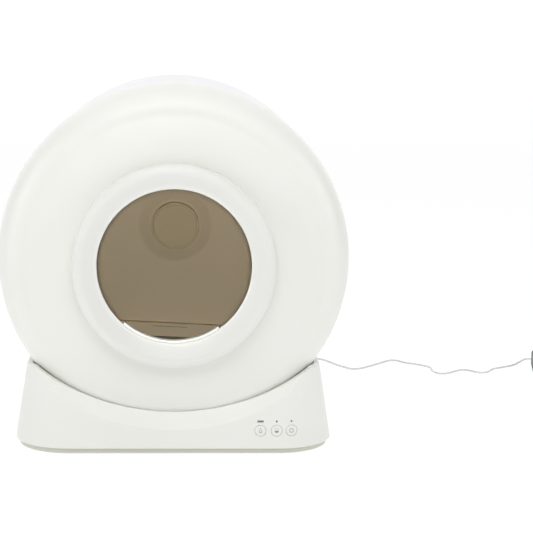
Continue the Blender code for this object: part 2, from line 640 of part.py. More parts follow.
def shelf_and_sieve(axis, taupe, grey):
    front = RIM_START - ROUNDING_DEPTH / 2
    back = BACK_WALL - CHAMBER_ROUNDING
    low, high = SHELF_RISE - WALL, SHELF_RISE
    edge = CHAMBER_INNER - FIT
    right_low, right_high = math.sqrt(edge ** 2 - low ** 2), math.sqrt(edge ** 2 - high ** 2)
    guide = BIN_HALF_WIDTH + BIN_CLEARANCE
    outline = [(-SHELF_LEFT, low), (right_low, low), (right_high, high), (guide + WALL, high)]
    outline += [(guide + WALL, high + 2 * WALL), (guide, high + 2 * WALL), (guide, high)]
    outline += [(-guide, high), (-guide, high + 2 * WALL), (-guide - WALL, high + 2 * WALL), (-guide - WALL, high)]
    outline += [(-SHELF_LEFT, high)]
    shelf = flat([outline], back - front)
    place(shelf, "bin_shelf", axis, at=(0, (front + back) / 2, 0), turn=FACING, finish=taupe)

    top = (-SHELF_LEFT + SIEVE_THICKNESS, low - FIT - SIEVE_THICKNESS * SIEVE_SET_SHARE)
    foot = (CHAMBER_INNER * math.cos(SIEVE_FOOT_ANGLE), CHAMBER_INNER * math.sin(SIEVE_FOOT_ANGLE))
    run = math.dist(top, foot)
    way = ((foot[0] - top[0]) / run, (foot[1] - top[1]) / run)
    side = (-way[1] * SIEVE_THICKNESS / 2, way[0] * SIEVE_THICKNESS / 2)
    length = min(reach((top[0] + s * side[0], top[1] + s * side[1]), way, edge) for s in (1, -1))
    depth = back - front
    count = int((depth - SIEVE_RAIL) / (SIEVE_SLOT + SIEVE_BAR))
    start = -(count * (SIEVE_SLOT + SIEVE_BAR) - SIEVE_BAR) / 2
    outlines = [[(-depth / 2, 0), (depth / 2, 0), (depth / 2, length), (-depth / 2, length)]]
    slot_length = (length - 3 * SIEVE_RAIL) / 2
    for i in range(count):
        x = start + i * (SIEVE_SLOT + SIEVE_BAR)
        for row in range(2):
            y = SIEVE_RAIL + row * (slot_length + SIEVE_RAIL)
            far_x, far_y = x + SIEVE_SLOT, y + slot_length
            outlines.append([(x, y), (far_x, y), (far_x, far_y), (x, far_y)])
    grid = flat(outlines, SIEVE_THICKNESS)
    place(grid, "sieve_grid", axis, finish=grey)
    rotation = Matrix((Vector((0, 1, 0)), Vector((way[0], 0, way[1])),
                       Vector((0, 1, 0)).cross(Vector((way[0], 0, way[1]))))).transposed()
    grid.rotation_euler = rotation.to_euler()
    grid.location = (top[0], (front + back) / 2, top[1])


def drum(finishes):
    axis = empty("drum_axis", at=(0, 0, AXIS_HEIGHT), turn=(0, DRUM_TURN, 0))
    front_shell(axis, finishes["white"])
    rear_shell(axis, finishes["cool"])
    hub_cup(axis, finishes["cool"])
    back = back_panel(axis, finishes["cool"])
    entry_ring(axis, finishes["white"])
    entry_lip(axis, finishes["white"])
    cup = chamber(axis, finishes["taupe"])
    hub(axis, finishes["taupe"], finishes["steel"])
    ledge_and_mat(axis, finishes["taupe"], finishes["rubber"])
    shelf_and_sieve(axis, finishes["taupe"], finishes["grey"])
    waste_bin(axis, (back, cup), finishes["grey"], finishes["cool"], finishes["dark"])
    ring = flat([gear_outline(RING_TEETH, 2), circle(RING_GEAR_BORE, TURN_STEPS)], RING_GEAR_WIDTH)
    middle = (RING_GEAR_FRONT + RING_GEAR_BACK) / 2
    place(ring, "ring_gear", axis, at=(0, middle, 0), turn=FACING, finish=finishes["grey"])


def base_section(z, inset=0.0):
    """The base's plan at a height: (half width, half depth, corner radius)."""
    rise = max(z - BASE_BOTTOM, 0)
    corner = CORNER_AT_BOTTOM + (CORNER_AT_TOP - CORNER_AT_BOTTOM) * rise / (BASE_TOP - BASE_BOTTOM)
    half_x = BASE_HALF_WIDTH - rise * math.tan(SIDE_DRAFT)
    half_y = BASE_HALF_DEPTH - rise * math.tan(FRONT_DRAFT)
    return half_x - inset, half_y - inset, corner - inset


def base_loft(levels):
    """A solid between rounded rectangles, each a height and an inset from the base's sides."""
    bm = bmesh.new()
    rings = []
    for z, inset in levels:
        half_x, half_y, corner = base_section(z, inset)
        ring = []
        for quarter, (sx, sy) in enumerate(((1, 1), (-1, 1), (-1, -1), (1, -1))):
            centre = (sx * (half_x - corner), sy * (half_y - corner))
            start = quarter * math.pi / 2
            ring += arc(centre, corner, start, start + math.pi / 2, CORNER_STEPS)
        rings.append([bm.verts.new((x, y, z)) for x, y in ring])
    for lower, upper in zip(rings, rings[1:]):
        for i in range(len(lower)):
            j = (i + 1) % len(lower)
            bm.faces.new((lower[i], lower[j], upper[j], upper[i]))
    bm.faces.new(rings[0][::-1])
    bm.faces.new(rings[-1])
    bmesh.ops.recalc_face_normals(bm, faces=bm.faces)
    return from_bmesh("loft", bm)


def cradle_cutters(grow, name):
    """The drum's trough and the coned mouth over the front lip, grown outward by a wall.

    The trough follows the drum's front rounding, so that the ears close round it.
    """
    radius = TROUGH_RADIUS + grow
    back = BASE_HALF_DEPTH + OVERRUN
    front = LIP_BACK - grow * LIP_WALL_SHARE
    dome_end = DRUM_RADIUS - ROUNDING_WIDTH
    squash = (RIM_START - front) / (radius - dome_end)
    profile = [(0, front)] + arc((dome_end, RIM_START), radius - dome_end, -math.pi / 2, 0, ROUNDING_STEPS, squash)
    trough = turned(profile + [(radius, back), (0, back)], steps=TROUGH_STEPS)
    cutter(trough, name + "_trough", None, (0, 0, AXIS_HEIGHT), ALONG_Y)
    slope = BEVEL_DROP / BEVEL_DEPTH
    shift = grow * math.hypot(1, slope)
    out = BASE_HALF_DEPTH + LIP_CREST + OVERRUN
    rim = LIP_ARC_RADIUS + grow
    profile = [(0, RIM_START), (rim, RIM_START), (rim, LIP_CREST + (shift - grow) / slope),
               (LIP_ARC_RADIUS + shift + out * slope, LIP_CREST - out), (0, LIP_CREST - out)]
    mouth = turned(profile, steps=MOUTH_STEPS)
    cutter(mouth, name + "_mouth", None, (0, 0, ARC_CENTRE), ALONG_Y)
    return trough, mouth


def housing(finish):
    body = base_loft([(BASE_BOTTOM, 0), ((BASE_BOTTOM + BASE_TOP) / 2, 0), (BASE_TOP, 0)])
    place(body, "base_housing", None, finish=finish)
    cavity = base_loft([(BASE_BOTTOM - OVERRUN, WALL), (BASE_BOTTOM, WALL), (BASE_TOP - WALL, WALL)])
    cutter(cavity, "housing_cavity")
    for tool in cradle_cutters(WALL, "inner"):
        boolean(cavity, tool)
    boolean(body, cavity)
    for tool in cradle_cutters(0.0, "outer"):
        boolean(body, tool)
    return smooth(body)


def around(angle, distance):
    """A point of the XZ plane at an angle from straight down about the drum's axis."""
    return math.sin(angle) * distance, AXIS_HEIGHT - math.cos(angle) * distance


def pan_window(body, name, angle, half_width, front, back):
    """A window through the trough's wall at an angle about the drum's axis."""
    depth = WALL + 2 * OVERRUN
    x, z = around(angle, TROUGH_RADIUS + WALL / 2)
    window = block(2 * half_width, back - front, depth)
    cutter(window, name, None, (x, (front + back) / 2, z), (0, -angle, 0))
    boolean(body, window)


def roller(name, angle, y, drum_radius, finishes, body):
    distance = drum_radius + FIT + ROLLER_RADIUS
    x, z = around(angle, distance)
    spin = empty(name + "_spin", at=(x, y, z))
    half = ROLLER_WIDTH / 2
    hub_radius = ROLLER_RADIUS - TYRE_THICKNESS
    bore = AXLE_RADIUS + FIT
    bend = TYRE_THICKNESS * TYRE_BEND_SHARE
    step = hub_radius * HUB_STEP_SHARE
    tyre = turned([(hub_radius + FIT, half), (ROLLER_RADIUS - bend, half), (ROLLER_RADIUS, half - bend),
                   (ROLLER_RADIUS, bend - half), (ROLLER_RADIUS - bend, -half), (hub_radius + FIT, -half)],
                  steps=SMALL_STEPS)
    smooth(place(tyre, name + "_tyre", spin, turn=ALONG_Y, finish=finishes["rubber"]))
    core = turned([(bore, half + FIT), (step, half + FIT), (hub_radius, half), (hub_radius, -half),
                   (step, -half - FIT), (bore, -half - FIT)], steps=TINY_STEPS)
    smooth(place(core, name + "_hub", spin, turn=ALONG_Y, finish=finishes["grey"]))
    gap = half + 3 * FIT
    axle = cylinder(AXLE_RADIUS, 2 * (gap + CHEEK), steps=TINY_STEPS)
    smooth(place(axle, name + "_axle", None, (x, y, z), ALONG_Y, finishes["steel"]))
    top = z + step
    foot = TRAY_TOP + FIT
    inner, outer = gap, gap + CHEEK
    outline = [(-outer, foot), (outer, foot), (outer, top), (inner, top), (inner, foot + CHEEK),
               (-inner, foot + CHEEK), (-inner, top), (-outer, top)]
    fork = meshed(flat([outline], CHEEK_WIDTH))
    place(fork, name + "_fork", None, (x, y, 0), (math.pi / 2, 0, math.pi / 2), finishes["dark"])
    bore_cut = cylinder(AXLE_RADIUS + FIT, 4 * gap, steps=TINY_STEPS)
    cutter(bore_cut, name + "_bore", None, (x, y, z), ALONG_Y)
    boolean(fork, bore_cut)
    reach_out = outer + WINDOW_CLEARANCE
    pan_window(body, name + "_window", angle, ROLLER_RADIUS + WINDOW_CLEARANCE, y - reach_out, y + reach_out)


def drive(finishes, body):
    distance = PITCH_RADIUS + PINION_PITCH
    x, z = around(DRIVE_ANGLE, distance)
    y = (RING_GEAR_FRONT + RING_GEAR_BACK) / 2
    spin = empty("pinion_spin", at=(x, y, z))
    bore = circle(PINION_SHAFT_RADIUS + FIT, SMALL_STEPS)
    pinion = flat([gear_outline(PINION_TEETH, 2), bore], PINION_WIDTH)
    # A gap of the pinion faces a tooth of the ring, whose teeth turn with the drum.
    towards = math.pi / 2 + DRIVE_ANGLE
    ring_pitch = 2 * math.pi / RING_TEETH
    at_mesh = -math.pi / 2 + DRIVE_ANGLE + DRUM_TURN
    ahead = at_mesh - round(at_mesh / ring_pitch) * ring_pitch
    turn = towards + math.pi / PINION_TEETH + ahead * RING_TEETH / PINION_TEETH
    place(pinion, "drive_pinion", spin, turn=(math.pi / 2, -turn, 0), finish=finishes["grey"])
    shaft_front = -PINION_WIDTH / 2
    gearbox_front = RING_GEAR_WIDTH / 2 + WALL
    shaft_back = gearbox_front + WALL
    shaft = cylinder(PINION_SHAFT_RADIUS, shaft_back - shaft_front)
    smooth(place(shaft, "pinion_shaft", spin, (0, (shaft_front + shaft_back) / 2, 0), ALONG_Y, finishes["steel"]))

    motor_x, motor_z = around(DRIVE_ANGLE, distance + MOTOR_OFFSET)
    away = math.atan2(motor_z - z, motor_x - x)
    lean = math.asin((MOTOR_RADIUS - GEARBOX_NOSE) / MOTOR_OFFSET)
    outline = arc((x, z), GEARBOX_NOSE, away + math.pi / 2 + lean, away + 3 * math.pi / 2 - lean, 8)
    outline += arc((motor_x, motor_z), MOTOR_RADIUS, away - math.pi / 2 - lean, away + math.pi / 2 + lean, 12)
    box = meshed(flat([outline], GEARBOX_LENGTH))
    box_y = y + gearbox_front + GEARBOX_LENGTH / 2
    place(box, "gearbox", None, (0, box_y, 0), FACING, finishes["dark"])
    pocket = cylinder(PINION_SHAFT_RADIUS + FIT, 2 * WALL + 2 * FIT)
    cutter(pocket, "shaft_pocket", None, (x, y + gearbox_front, z), ALONG_Y)
    boolean(box, pocket)
    motor_y = box_y + GEARBOX_LENGTH / 2 + FIT + MOTOR_LENGTH / 2
    can = cylinder(MOTOR_RADIUS - WALL / 2, MOTOR_LENGTH, steps=SMALL_STEPS)
    smooth(place(can, "drive_motor", None, (motor_x, motor_y, motor_z), ALONG_Y, finishes["steel"]))
    foot = TRAY_TOP + FIT
    top = motor_z + MOTOR_RADIUS * PLATE_RISE_SHARE
    plate_y = box_y + GEARBOX_LENGTH / 2 + FIT * 2
    outline = [(0, foot), (MOTOR_RADIUS, foot), (MOTOR_RADIUS, foot + MOTOR_PLATE),
               (MOTOR_PLATE, foot + MOTOR_PLATE), (MOTOR_PLATE, top), (0, top)]
    bracket = meshed(flat([outline], 2 * MOTOR_RADIUS))
    place(bracket, "motor_bracket", None, (motor_x, plate_y, 0), (math.pi / 2, 0, math.pi / 2), finishes["steel"])
    hole = cylinder(MOTOR_RADIUS - WALL / 2 + FIT, 4 * MOTOR_RADIUS, steps=SMALL_STEPS)
    cutter(hole, "motor_hole", None, (motor_x, plate_y, motor_z), ALONG_Y)
    boolean(bracket, hole)
    reach_out = PINION_PITCH + GEAR_MODULE + WINDOW_CLEARANCE
    window_back = y + gearbox_front + GEARBOX_LENGTH + WINDOW_CLEARANCE
    pan_window(body, "gear_window", DRIVE_ANGLE, reach_out, y - RING_GEAR_WIDTH / 2, window_back)


def tray(finishes):
    """The base's floor: a recessed plinth whose rim stands up just inside the housing's wall."""
    low, high = TRAY_LIFT, PAN_UNDERSIDE - FIT
    inner = PLINTH_RECESS + WALL
    plate = base_loft([(low, PLINTH_RECESS), (BASE_BOTTOM - FIT, PLINTH_RECESS), (BASE_BOTTOM, WALL + FIT),
                       (high, WALL + FIT)])
    place(plate, "base_tray", None, finish=finishes["plinth"])
    hollow = base_loft([(TRAY_TOP, inner), (high + OVERRUN, inner)])
    cutter(hollow, "tray_hollow")
    boolean(plate, hollow)
    x = BASE_HALF_WIDTH - FOOT_INSET
    y = BASE_HALF_DEPTH - FOOT_INSET
    for side, sx in (("left", -1), ("right", 1)):
        for end, sy in (("front", -1), ("rear", 1)):
            name = f"foot_{end}_{side}"
            foot = cylinder(FOOT_RADIUS, FOOT_HEIGHT, steps=SMALL_STEPS)
            smooth(place(foot, name, None, (sx * x, sy * y, FOOT_HEIGHT / 2), finish=finishes["rubber"]))
            pocket = cylinder(FOOT_RADIUS + FIT, 2 * (FOOT_HEIGHT - TRAY_LIFT + FIT), steps=SMALL_STEPS)
            cutter(pocket, name + "_pocket", None, (sx * x, sy * y, TRAY_LIFT))
            boolean(plate, pocket)


def wall_depth(z, x):
    """How far the front wall stands back at a height and a distance from the middle."""
    half_x, half_y, corner = base_section(z)
    past = max(abs(x) - (half_x - corner), 0)
    return half_y - corner + math.sqrt(corner ** 2 - past ** 2)


def panel(finishes, body):
    """Three push buttons with their lamps, and the board behind them."""
    skin = base_loft([(BASE_BOTTOM, -BUTTON_PROUD), (BASE_TOP, -BUTTON_PROUD)])
    cutter(skin, "button_skin")
    flush = base_loft([(BASE_BOTTOM, 0), (BASE_TOP, 0)])
    cutter(flush, "lamp_skin")
    board_front = LIP_BACK - WALL * LIP_WALL_SHARE - FIT - BOARD_THICKNESS
    names = ("button_left", "button_middle", "button_right")
    for name, x in zip(names, BUTTON_XS):
        front = -wall_depth(BUTTON_HEIGHT, x)
        far = front - OVERRUN
        near = front + WALL + BUTTON_TRAVEL
        cap = cylinder(BUTTON_RADIUS, near - far, steps=SMALL_STEPS)
        place(cap, name, None, (x, (near + far) / 2, BUTTON_HEIGHT), ALONG_Y, finishes["white"])
        stem_end = board_front - BUTTON_STEM
        stem = cylinder(BUTTON_STEM, stem_end - near + WALL, TINY_STEPS)
        cutter(stem, name + "_stem", None, (x, (stem_end + near - WALL) / 2, BUTTON_HEIGHT), ALONG_Y)
        boolean(cap, stem, "UNION")
        boolean(cap, skin, "INTERSECT")
        smooth(cap)
        hole = cylinder(BUTTON_RADIUS + FIT, 6 * WALL, steps=SMALL_STEPS)
        cutter(hole, name + "_hole", None, (x, front, BUTTON_HEIGHT), ALONG_Y)
        boolean(body, hole)
        lamp_z = BUTTON_HEIGHT + LAMP_RISE
        lamp_front = -wall_depth(lamp_z, x)
        length = OVERRUN + WALL + FIT
        lamp_y = lamp_front + WALL + FIT - length / 2
        if name == names[0]:
            lamp = block(LAMP_BAR_WIDTH, length, 2 * LAMP_RADIUS)
            lamp_hole = block(LAMP_BAR_WIDTH + 2 * FIT, 2 * length, 2 * (LAMP_RADIUS + FIT))
            turn = (0, 0, 0)
        else:
            lamp = cylinder(LAMP_RADIUS, length, TINY_STEPS)
            lamp_hole = cylinder(LAMP_RADIUS + FIT, 2 * length, TINY_STEPS)
            turn = ALONG_Y
        place(lamp, name.replace("button", "lamp"), None, (x, lamp_y, lamp_z), turn, finishes["lamp"])
        boolean(lamp, flush, "INTERSECT")
        cutter(lamp_hole, name + "_lamp_hole", None, (x, lamp_y, lamp_z), turn)
        boolean(body, lamp_hole)
    low, high = BUTTON_XS[0] - BOARD_MARGIN, BUTTON_XS[-1] + BOARD_MARGIN
    board = block(high - low, BOARD_THICKNESS, 2 * BOARD_HALF_HEIGHT)
    place(board, "control_board", None, ((low + high) / 2, board_front + BOARD_THICKNESS / 2, BUTTON_HEIGHT),
          finish=finishes["board"])


def socket(finishes, body):
    wall_y = wall_depth(SOCKET_HEIGHT, SOCKET_X)
    hole = cylinder(SOCKET_RADIUS + FIT, 6 * WALL)
    cutter(hole, "socket_hole", None, (SOCKET_X, wall_y, SOCKET_HEIGHT), ALONG_Y)
    boolean(body, hole)
    back = wall_y - SOCKET_LENGTH
    bore = BARREL_RADIUS + FIT
    jack = turned([(bore, back + WALL), (0, back + WALL), (0, back), (SOCKET_RADIUS, back), (SOCKET_RADIUS, wall_y),
                   (bore, wall_y)], steps=SMALL_STEPS)
    smooth(place(jack, "dc_socket", None, (SOCKET_X, 0, SOCKET_HEIGHT), ALONG_Y, finishes["dark"]))
    return wall_y


def rounded_path(points, spacing):
    """Even steps along one smooth curve through the route's own points."""
    points = [Vector(p) for p in points]
    ends = [points[0] * 2 - points[1]] + points + [points[-1] * 2 - points[-2]]
    fine = []
    for a, b, c, d in zip(ends, ends[1:], ends[2:], ends[3:]):
        t0, t1 = 0.0, (b - a).length ** 0.5
        t2 = t1 + (c - b).length ** 0.5
        t3 = t2 + (d - c).length ** 0.5
        for i in range(20):
            t = t1 + (t2 - t1) * i / 20
            ab = a * ((t1 - t) / (t1 - t0)) + b * ((t - t0) / (t1 - t0))
            bc = b * ((t2 - t) / (t2 - t1)) + c * ((t - t1) / (t2 - t1))
            cd = c * ((t3 - t) / (t3 - t2)) + d * ((t - t2) / (t3 - t2))
            abc = ab * ((t2 - t) / (t2 - t0)) + bc * ((t - t0) / (t2 - t0))
            bcd = bc * ((t3 - t) / (t3 - t1)) + cd * ((t - t1) / (t3 - t1))
            fine.append(abc * ((t2 - t) / (t2 - t1)) + bcd * ((t - t1) / (t2 - t1)))
    fine.append(points[-1])
    total = sum((b - a).length for a, b in zip(fine, fine[1:]))
    count = max(2, round(total / spacing))
    step = total / count
    even, run, due = [fine[0]], 0.0, step
    for a, b in zip(fine, fine[1:]):
        length = (b - a).length
        while run + length >= due - 1e-9 and len(even) < count:
            even.append(a + (b - a) * ((due - run) / length))
            due += step
        run += length
    even.append(fine[-1])
    return even, total


def tube(points, radius, resolution):
    curve = bpy.data.curves.new("tube", "CURVE")
    curve.dimensions = "3D"
    curve.bevel_depth = radius
    curve.bevel_resolution = resolution
    curve.use_fill_caps = True
    spline = curve.splines.new("POLY")
    spline.points.add(len(points) - 1)
    for point, co in zip(spline.points, points):
        point.co = (*co, 1)
    return bpy.data.objects.new("tube", curve)


def lead(finishes, wall_y):
    """The low voltage lead: plug, free stretch, coil, tie, and the adapter with its blades."""
    radius = CORD_DIAMETER / 2
    rubber = finishes["cord"]
    inside = wall_y - BARREL_LENGTH
    out = wall_y + FIT
    relief_start = out + PLUG_LENGTH
    end = relief_start + RELIEF_LENGTH
    bend = PLUG_RADIUS * PLUG_BEND_SHARE
    neck = PLUG_RADIUS * PLUG_NECK_SHARE
    profile = [(0, inside), (BARREL_RADIUS, inside), (BARREL_RADIUS, out), (PLUG_RADIUS - bend, out),
               (PLUG_RADIUS, out + bend), (PLUG_RADIUS, relief_start), (neck, relief_start + bend),
               (radius + FIT, end), (0, end)]
    plug = turned(profile, steps=SMALL_STEPS)
    smooth(place(plug, "lead_plug", None, (SOCKET_X, 0, SOCKET_HEIGHT), ALONG_Y, finishes["dark"]))

    points, total = coil_path(radius)
    coil = tube(points, radius, 1)
    place(coil, "power_cord_coil", None, finish=rubber)
    tie(finishes["dark"])
    adapter(points, finishes)
    route = [(SOCKET_X, end + FIT, SOCKET_HEIGHT), (SOCKET_X, end + 3 * CORD_DIAMETER, SOCKET_HEIGHT)]
    route += [(SOCKET_X + x, BASE_HALF_DEPTH + y, z + radius) for x, y, z in ROUTE]
    start, after = Vector(points[0]), Vector(points[1])
    way = (start - after).normalized()
    route += [start + way * (CORD_DIAMETER * 3), start + way * FIT]
    path, length = rounded_path(route, 3 * CORD_DIAMETER)
    cord = tube(path, radius, 2)
    place(cord, "power_cord", None, finish=rubber)
    print(f"power_cord free stretch {length:.3f} m, coil {total:.3f} m")


def coil_path(radius):
    """Round turns in two layers: in on the lowest, up, and out again, then straight to the adapter."""
    diameter = 2 * radius
    pitch = diameter * COIL_PITCH_SHARE
    per_turn = COIL_LOOP_POINTS
    layer_turns = COIL_TURNS / 2
    inner = COIL_RADIUS - pitch * layer_turns / 2
    outer = inner + pitch * layer_turns
    points = []
    count = int(COIL_TURNS * per_turn)
    for i in range(count + 1):
        turn = i / per_turn
        angle = COIL_START + 2 * math.pi * turn
        if turn <= layer_turns:
            spiral = outer - pitch * turn
        else:
            spiral = inner + pitch * (turn - layer_turns)
        climb = min(max((turn - layer_turns) / COIL_CLIMB_TURNS + 1 / 2, 0.0), 1.0)
        height = radius + pitch * (climb * climb * (3 - 2 * climb))
        points.append((COIL_X + spiral * math.cos(angle), COIL_Y + spiral * math.sin(angle), height))
    last, before = Vector(points[-1]), Vector(points[-2])
    way = Vector((last.x - before.x, last.y - before.y, 0)).normalized()
    low = RELIEF_RADIUS + FIT
    for i in range(1, 6):
        share = i / 5
        ease = share * share * (3 - 2 * share)
        at = last + way * COIL_TAIL * share
        points.append((at.x, at.y, last.z + (low - last.z) * ease))
    total = sum(math.dist(a, b) for a, b in zip(points, points[1:]))
    gap = min(math.dist(points[i], points[j]) for i in range(len(points))
              for j in range(i + per_turn // 2, len(points))) - diameter
    print(f"power_cord_coil least gap to itself {gap * 1000:.2f} mm")
    return points, total


def coil_height():
    """Top of the coil's two layers."""
    return CORD_DIAMETER * (1 + COIL_PITCH_SHARE)


def tie(finish):
    """A strap looped round the bundle on its far side."""
    middle = COIL_RADIUS
    half = CORD_DIAMETER * COIL_PITCH_SHARE * COIL_TURNS / 4 + CORD_DIAMETER / 2 + 2 * FIT
    top = coil_height() + FIT
    outer = [(middle - half - TIE_THICKNESS, FIT), (middle + half + TIE_THICKNESS, FIT),
             (middle + half + TIE_THICKNESS, top + TIE_THICKNESS), (middle - half - TIE_THICKNESS, top + TIE_THICKNESS)]
    inner = [(middle - half, 0), (middle + half, 0), (middle + half, top), (middle - half, top)]
    outline = [outer[0], inner[0], inner[3], inner[2], inner[1], outer[1], outer[2], outer[3]]
    outline = [(x, max(z, FIT)) for x, z in outline]
    strap = flat([outline], TIE_WIDTH)
    place(strap, "cord_tie", None, (COIL_X, COIL_Y, 0), FACING, finish)


def adapter(coil_points, finishes):
    """The wall adapter lies beside the coil, with its lead at one end and two blades at the other."""
    end, before = Vector(coil_points[-1]), Vector(coil_points[-2])
    way = (end - before).normalized()
    flat_way = Vector((way.x, way.y, 0)).normalized()
    turn = math.atan2(flat_way.y, flat_way.x)
    relief_start = end + flat_way * FIT
    height = end.z
    relief = cylinder(RELIEF_RADIUS, RELIEF_LENGTH, TINY_STEPS, taper=RELIEF_RADIUS * RELIEF_TIP_SHARE)
    middle = relief_start + flat_way * RELIEF_LENGTH / 2
    smooth(place(relief, "adapter_relief", None, (middle.x, middle.y, height),
                 (0, -math.pi / 2, turn), finishes["dark"]))
    start = relief_start + flat_way * (RELIEF_LENGTH + FIT)
    middle = start + flat_way * ADAPTER_LENGTH / 2
    body = block(ADAPTER_LENGTH, ADAPTER_WIDTH, ADAPTER_HEIGHT)
    place(body, "power_adapter", None, (middle.x, middle.y, ADAPTER_HEIGHT / 2), (0, 0, turn), finishes["dark"])
    edges = body.modifiers.new("edges", "BEVEL")
    edges.width = ADAPTER_EDGE
    edges.segments = 2
    edges.limit_method = "NONE"
    tip = start + flat_way * (ADAPTER_LENGTH + FIT + BLADE_LENGTH / 2)
    side_way = Vector((-flat_way.y, flat_way.x, 0))
    for name, side in (("adapter_blade_left", 1), ("adapter_blade_right", -1)):
        blade = block(BLADE_LENGTH, BLADE_THICKNESS, BLADE_WIDTH)
        at = tip + side_way * (side * BLADE_GAP / 2)
        place(blade, name, None, (at.x, at.y, ADAPTER_HEIGHT / 2), (0, 0, turn), finishes["steel"])


# The lead's route, from the plug to the coil: (right of the socket, behind the base, height over the floor).
ROUTE = [
    (0.0215, 0.0883, 0.032), (0.0761, 0.1056, 0.029), (0.1293, 0.1101, 0.024), (0.1660, 0.1268, 0.008),
    (0.1909, 0.1364, 0.000), (0.2039, 0.1383, 0.000), (0.2312, 0.1663, 0.000), (0.2578, 0.1987, 0.000),
    (0.2703, 0.2126, 0.000), (0.2778, 0.2144, 0.000), (0.2852, 0.2115, 0.000), (0.2979, 0.1931, 0.000),
    (0.3217, 0.1748, 0.000), (0.3396, 0.1521, 0.000), (0.3398, 0.1244, 0.000), (0.3476, 0.1004, 0.000),
    (0.3604, 0.0973, 0.000), (0.3944, 0.1287, 0.000), (0.4061, 0.1280, 0.000), (0.4250, 0.1076, 0.000),
    (0.4386, 0.1085, 0.000), (0.4575, 0.1390, 0.000), (0.4792, 0.1546, 0.000), (0.5029, 0.1742, 0.000),
    (0.5181, 0.1985, 0.000), (0.5397, 0.2297, 0.000), (0.5577, 0.2276, 0.000),
]

PARTS = bpy.data.collections.new("self_cleaning_litter_box")
CUTTERS = bpy.data.collections.new("cutters")


def build():
    for obj in list(bpy.data.objects):
        bpy.data.objects.remove(obj)
    bpy.context.scene.collection.children.link(PARTS)
    bpy.context.scene.collection.children.link(CUTTERS)
    finishes = {
        "white": material("warm_white_plastic", WHITE),
        "cool": material("cool_white_plastic", COOL_WHITE),
        "taupe": material("taupe_plastic", TAUPE, 0.55),
        "grey": material("grey_plastic", (0.35, 0.34, 0.33)),
        "dark": material("dark_plastic", (0.03, 0.03, 0.032)),
        "plinth": material("plinth_plastic", (0.60, 0.60, 0.54)),
        "rubber": material("black_rubber", (0.03, 0.028, 0.026), 0.7),
        "steel": material("bright_steel", (0.6, 0.6, 0.6), 0.3, 1.0),
        "lamp": material("lamp_window", (0.12, 0.11, 0.15), 0.3),
        "board": material("circuit_board", (0.02, 0.12, 0.05)),
        "cord": material("grey_cord", (0.55, 0.54, 0.52)),
    }
    drum(finishes)
    body = housing(finishes["white"])
    tray(finishes)
    front_y = (RIM_START + SEAM) / 2
    rear_y = BACK - REAR_ROLLER_SETBACK
    for side, angle in (("left", -ROLLER_ANGLE), ("right", ROLLER_ANGLE)):
        roller(f"front_{side}_roller", angle, front_y, DRUM_RADIUS, finishes, body)
        roller(f"rear_{side}_roller", angle, rear_y, REAR_RADIUS, finishes, body)
    drive(finishes, body)
    panel(finishes, body)
    lead(finishes, socket(finishes, body))


build()
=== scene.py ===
import math

import bmesh
import bpy
from mathutils import Matrix, Vector


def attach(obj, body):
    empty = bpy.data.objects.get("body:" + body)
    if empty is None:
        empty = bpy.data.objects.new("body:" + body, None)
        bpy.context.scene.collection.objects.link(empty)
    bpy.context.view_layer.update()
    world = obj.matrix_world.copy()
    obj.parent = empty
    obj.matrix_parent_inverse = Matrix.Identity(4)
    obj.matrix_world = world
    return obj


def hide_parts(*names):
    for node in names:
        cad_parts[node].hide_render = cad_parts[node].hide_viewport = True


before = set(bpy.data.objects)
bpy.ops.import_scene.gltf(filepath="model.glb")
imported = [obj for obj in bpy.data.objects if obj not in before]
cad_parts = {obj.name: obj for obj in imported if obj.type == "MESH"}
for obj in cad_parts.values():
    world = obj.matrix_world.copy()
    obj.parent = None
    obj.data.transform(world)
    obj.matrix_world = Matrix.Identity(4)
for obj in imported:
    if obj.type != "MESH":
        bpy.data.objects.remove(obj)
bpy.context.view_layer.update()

# Sizes of the whole machine, in metres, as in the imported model
FRONT, BACK = -0.260, 0.260  # crest of the entry ring, flat back
AXIS = 0.290                 # height of the drum's axis
DRUM_TURN = math.radians(2.6)
DRUM_RADIUS = 0.265
WALL = 0.003
FIT = 0.0003                 # gap between pieces that meet
ROUND_STEPS = 256            # steps round the drum's large shapes

# Camera, as fitted to the photograph
CAMERA_AT = Vector((0.006, -2.687, 0.670))
CAMERA_YAW, CAMERA_PITCH, CAMERA_ROLL = math.radians(3.04), math.radians(8.82), math.radians(0.76)
CAMERA_LENS, CAMERA_FILM = 113.3, 36.0

# Drum covers and entry ring
FACE = -0.230                # the front cover's face where it meets the ring
FACE_DOME = 0.015            # how far the face falls back towards its edge
DOME_POWER = 1.6
ROUND_START = -0.215         # where the front rounding meets the face
RIM_START = -0.167           # where it meets the drum's rim
SEAM = -0.125
COVER_FLANGE = 0.2403        # inner radius of the front cover's flange
SHOULDER = -0.1058
BARREL_FLANGE = 0.2397       # inner radius of the barrel's flange
REAR_RADIUS = 0.262
PANEL_RADIUS = 0.226
PANEL_SEAT = 0.008           # width of the rebate that the back panel lies on
HUB_CUP = 0.038
BOLT_HOLE = 0.0053
ROUNDING_WIDTH = 0.043
REAR_ROUNDING = 0.036
OPENING = 0.1142
RING_RADIUS = 0.1508
CREST_ROUND = 0.011
CREST_ARC = math.radians(112)
FUNNEL_DEPTH = 0.009
THROAT_EDGE = 0.003
SLEEVE_END = -0.231
STRIP_HALF_ANGLE = math.radians(38.5)
STRIP_THICKNESS = 0.0034
STRIP_DEPTH = 0.0278

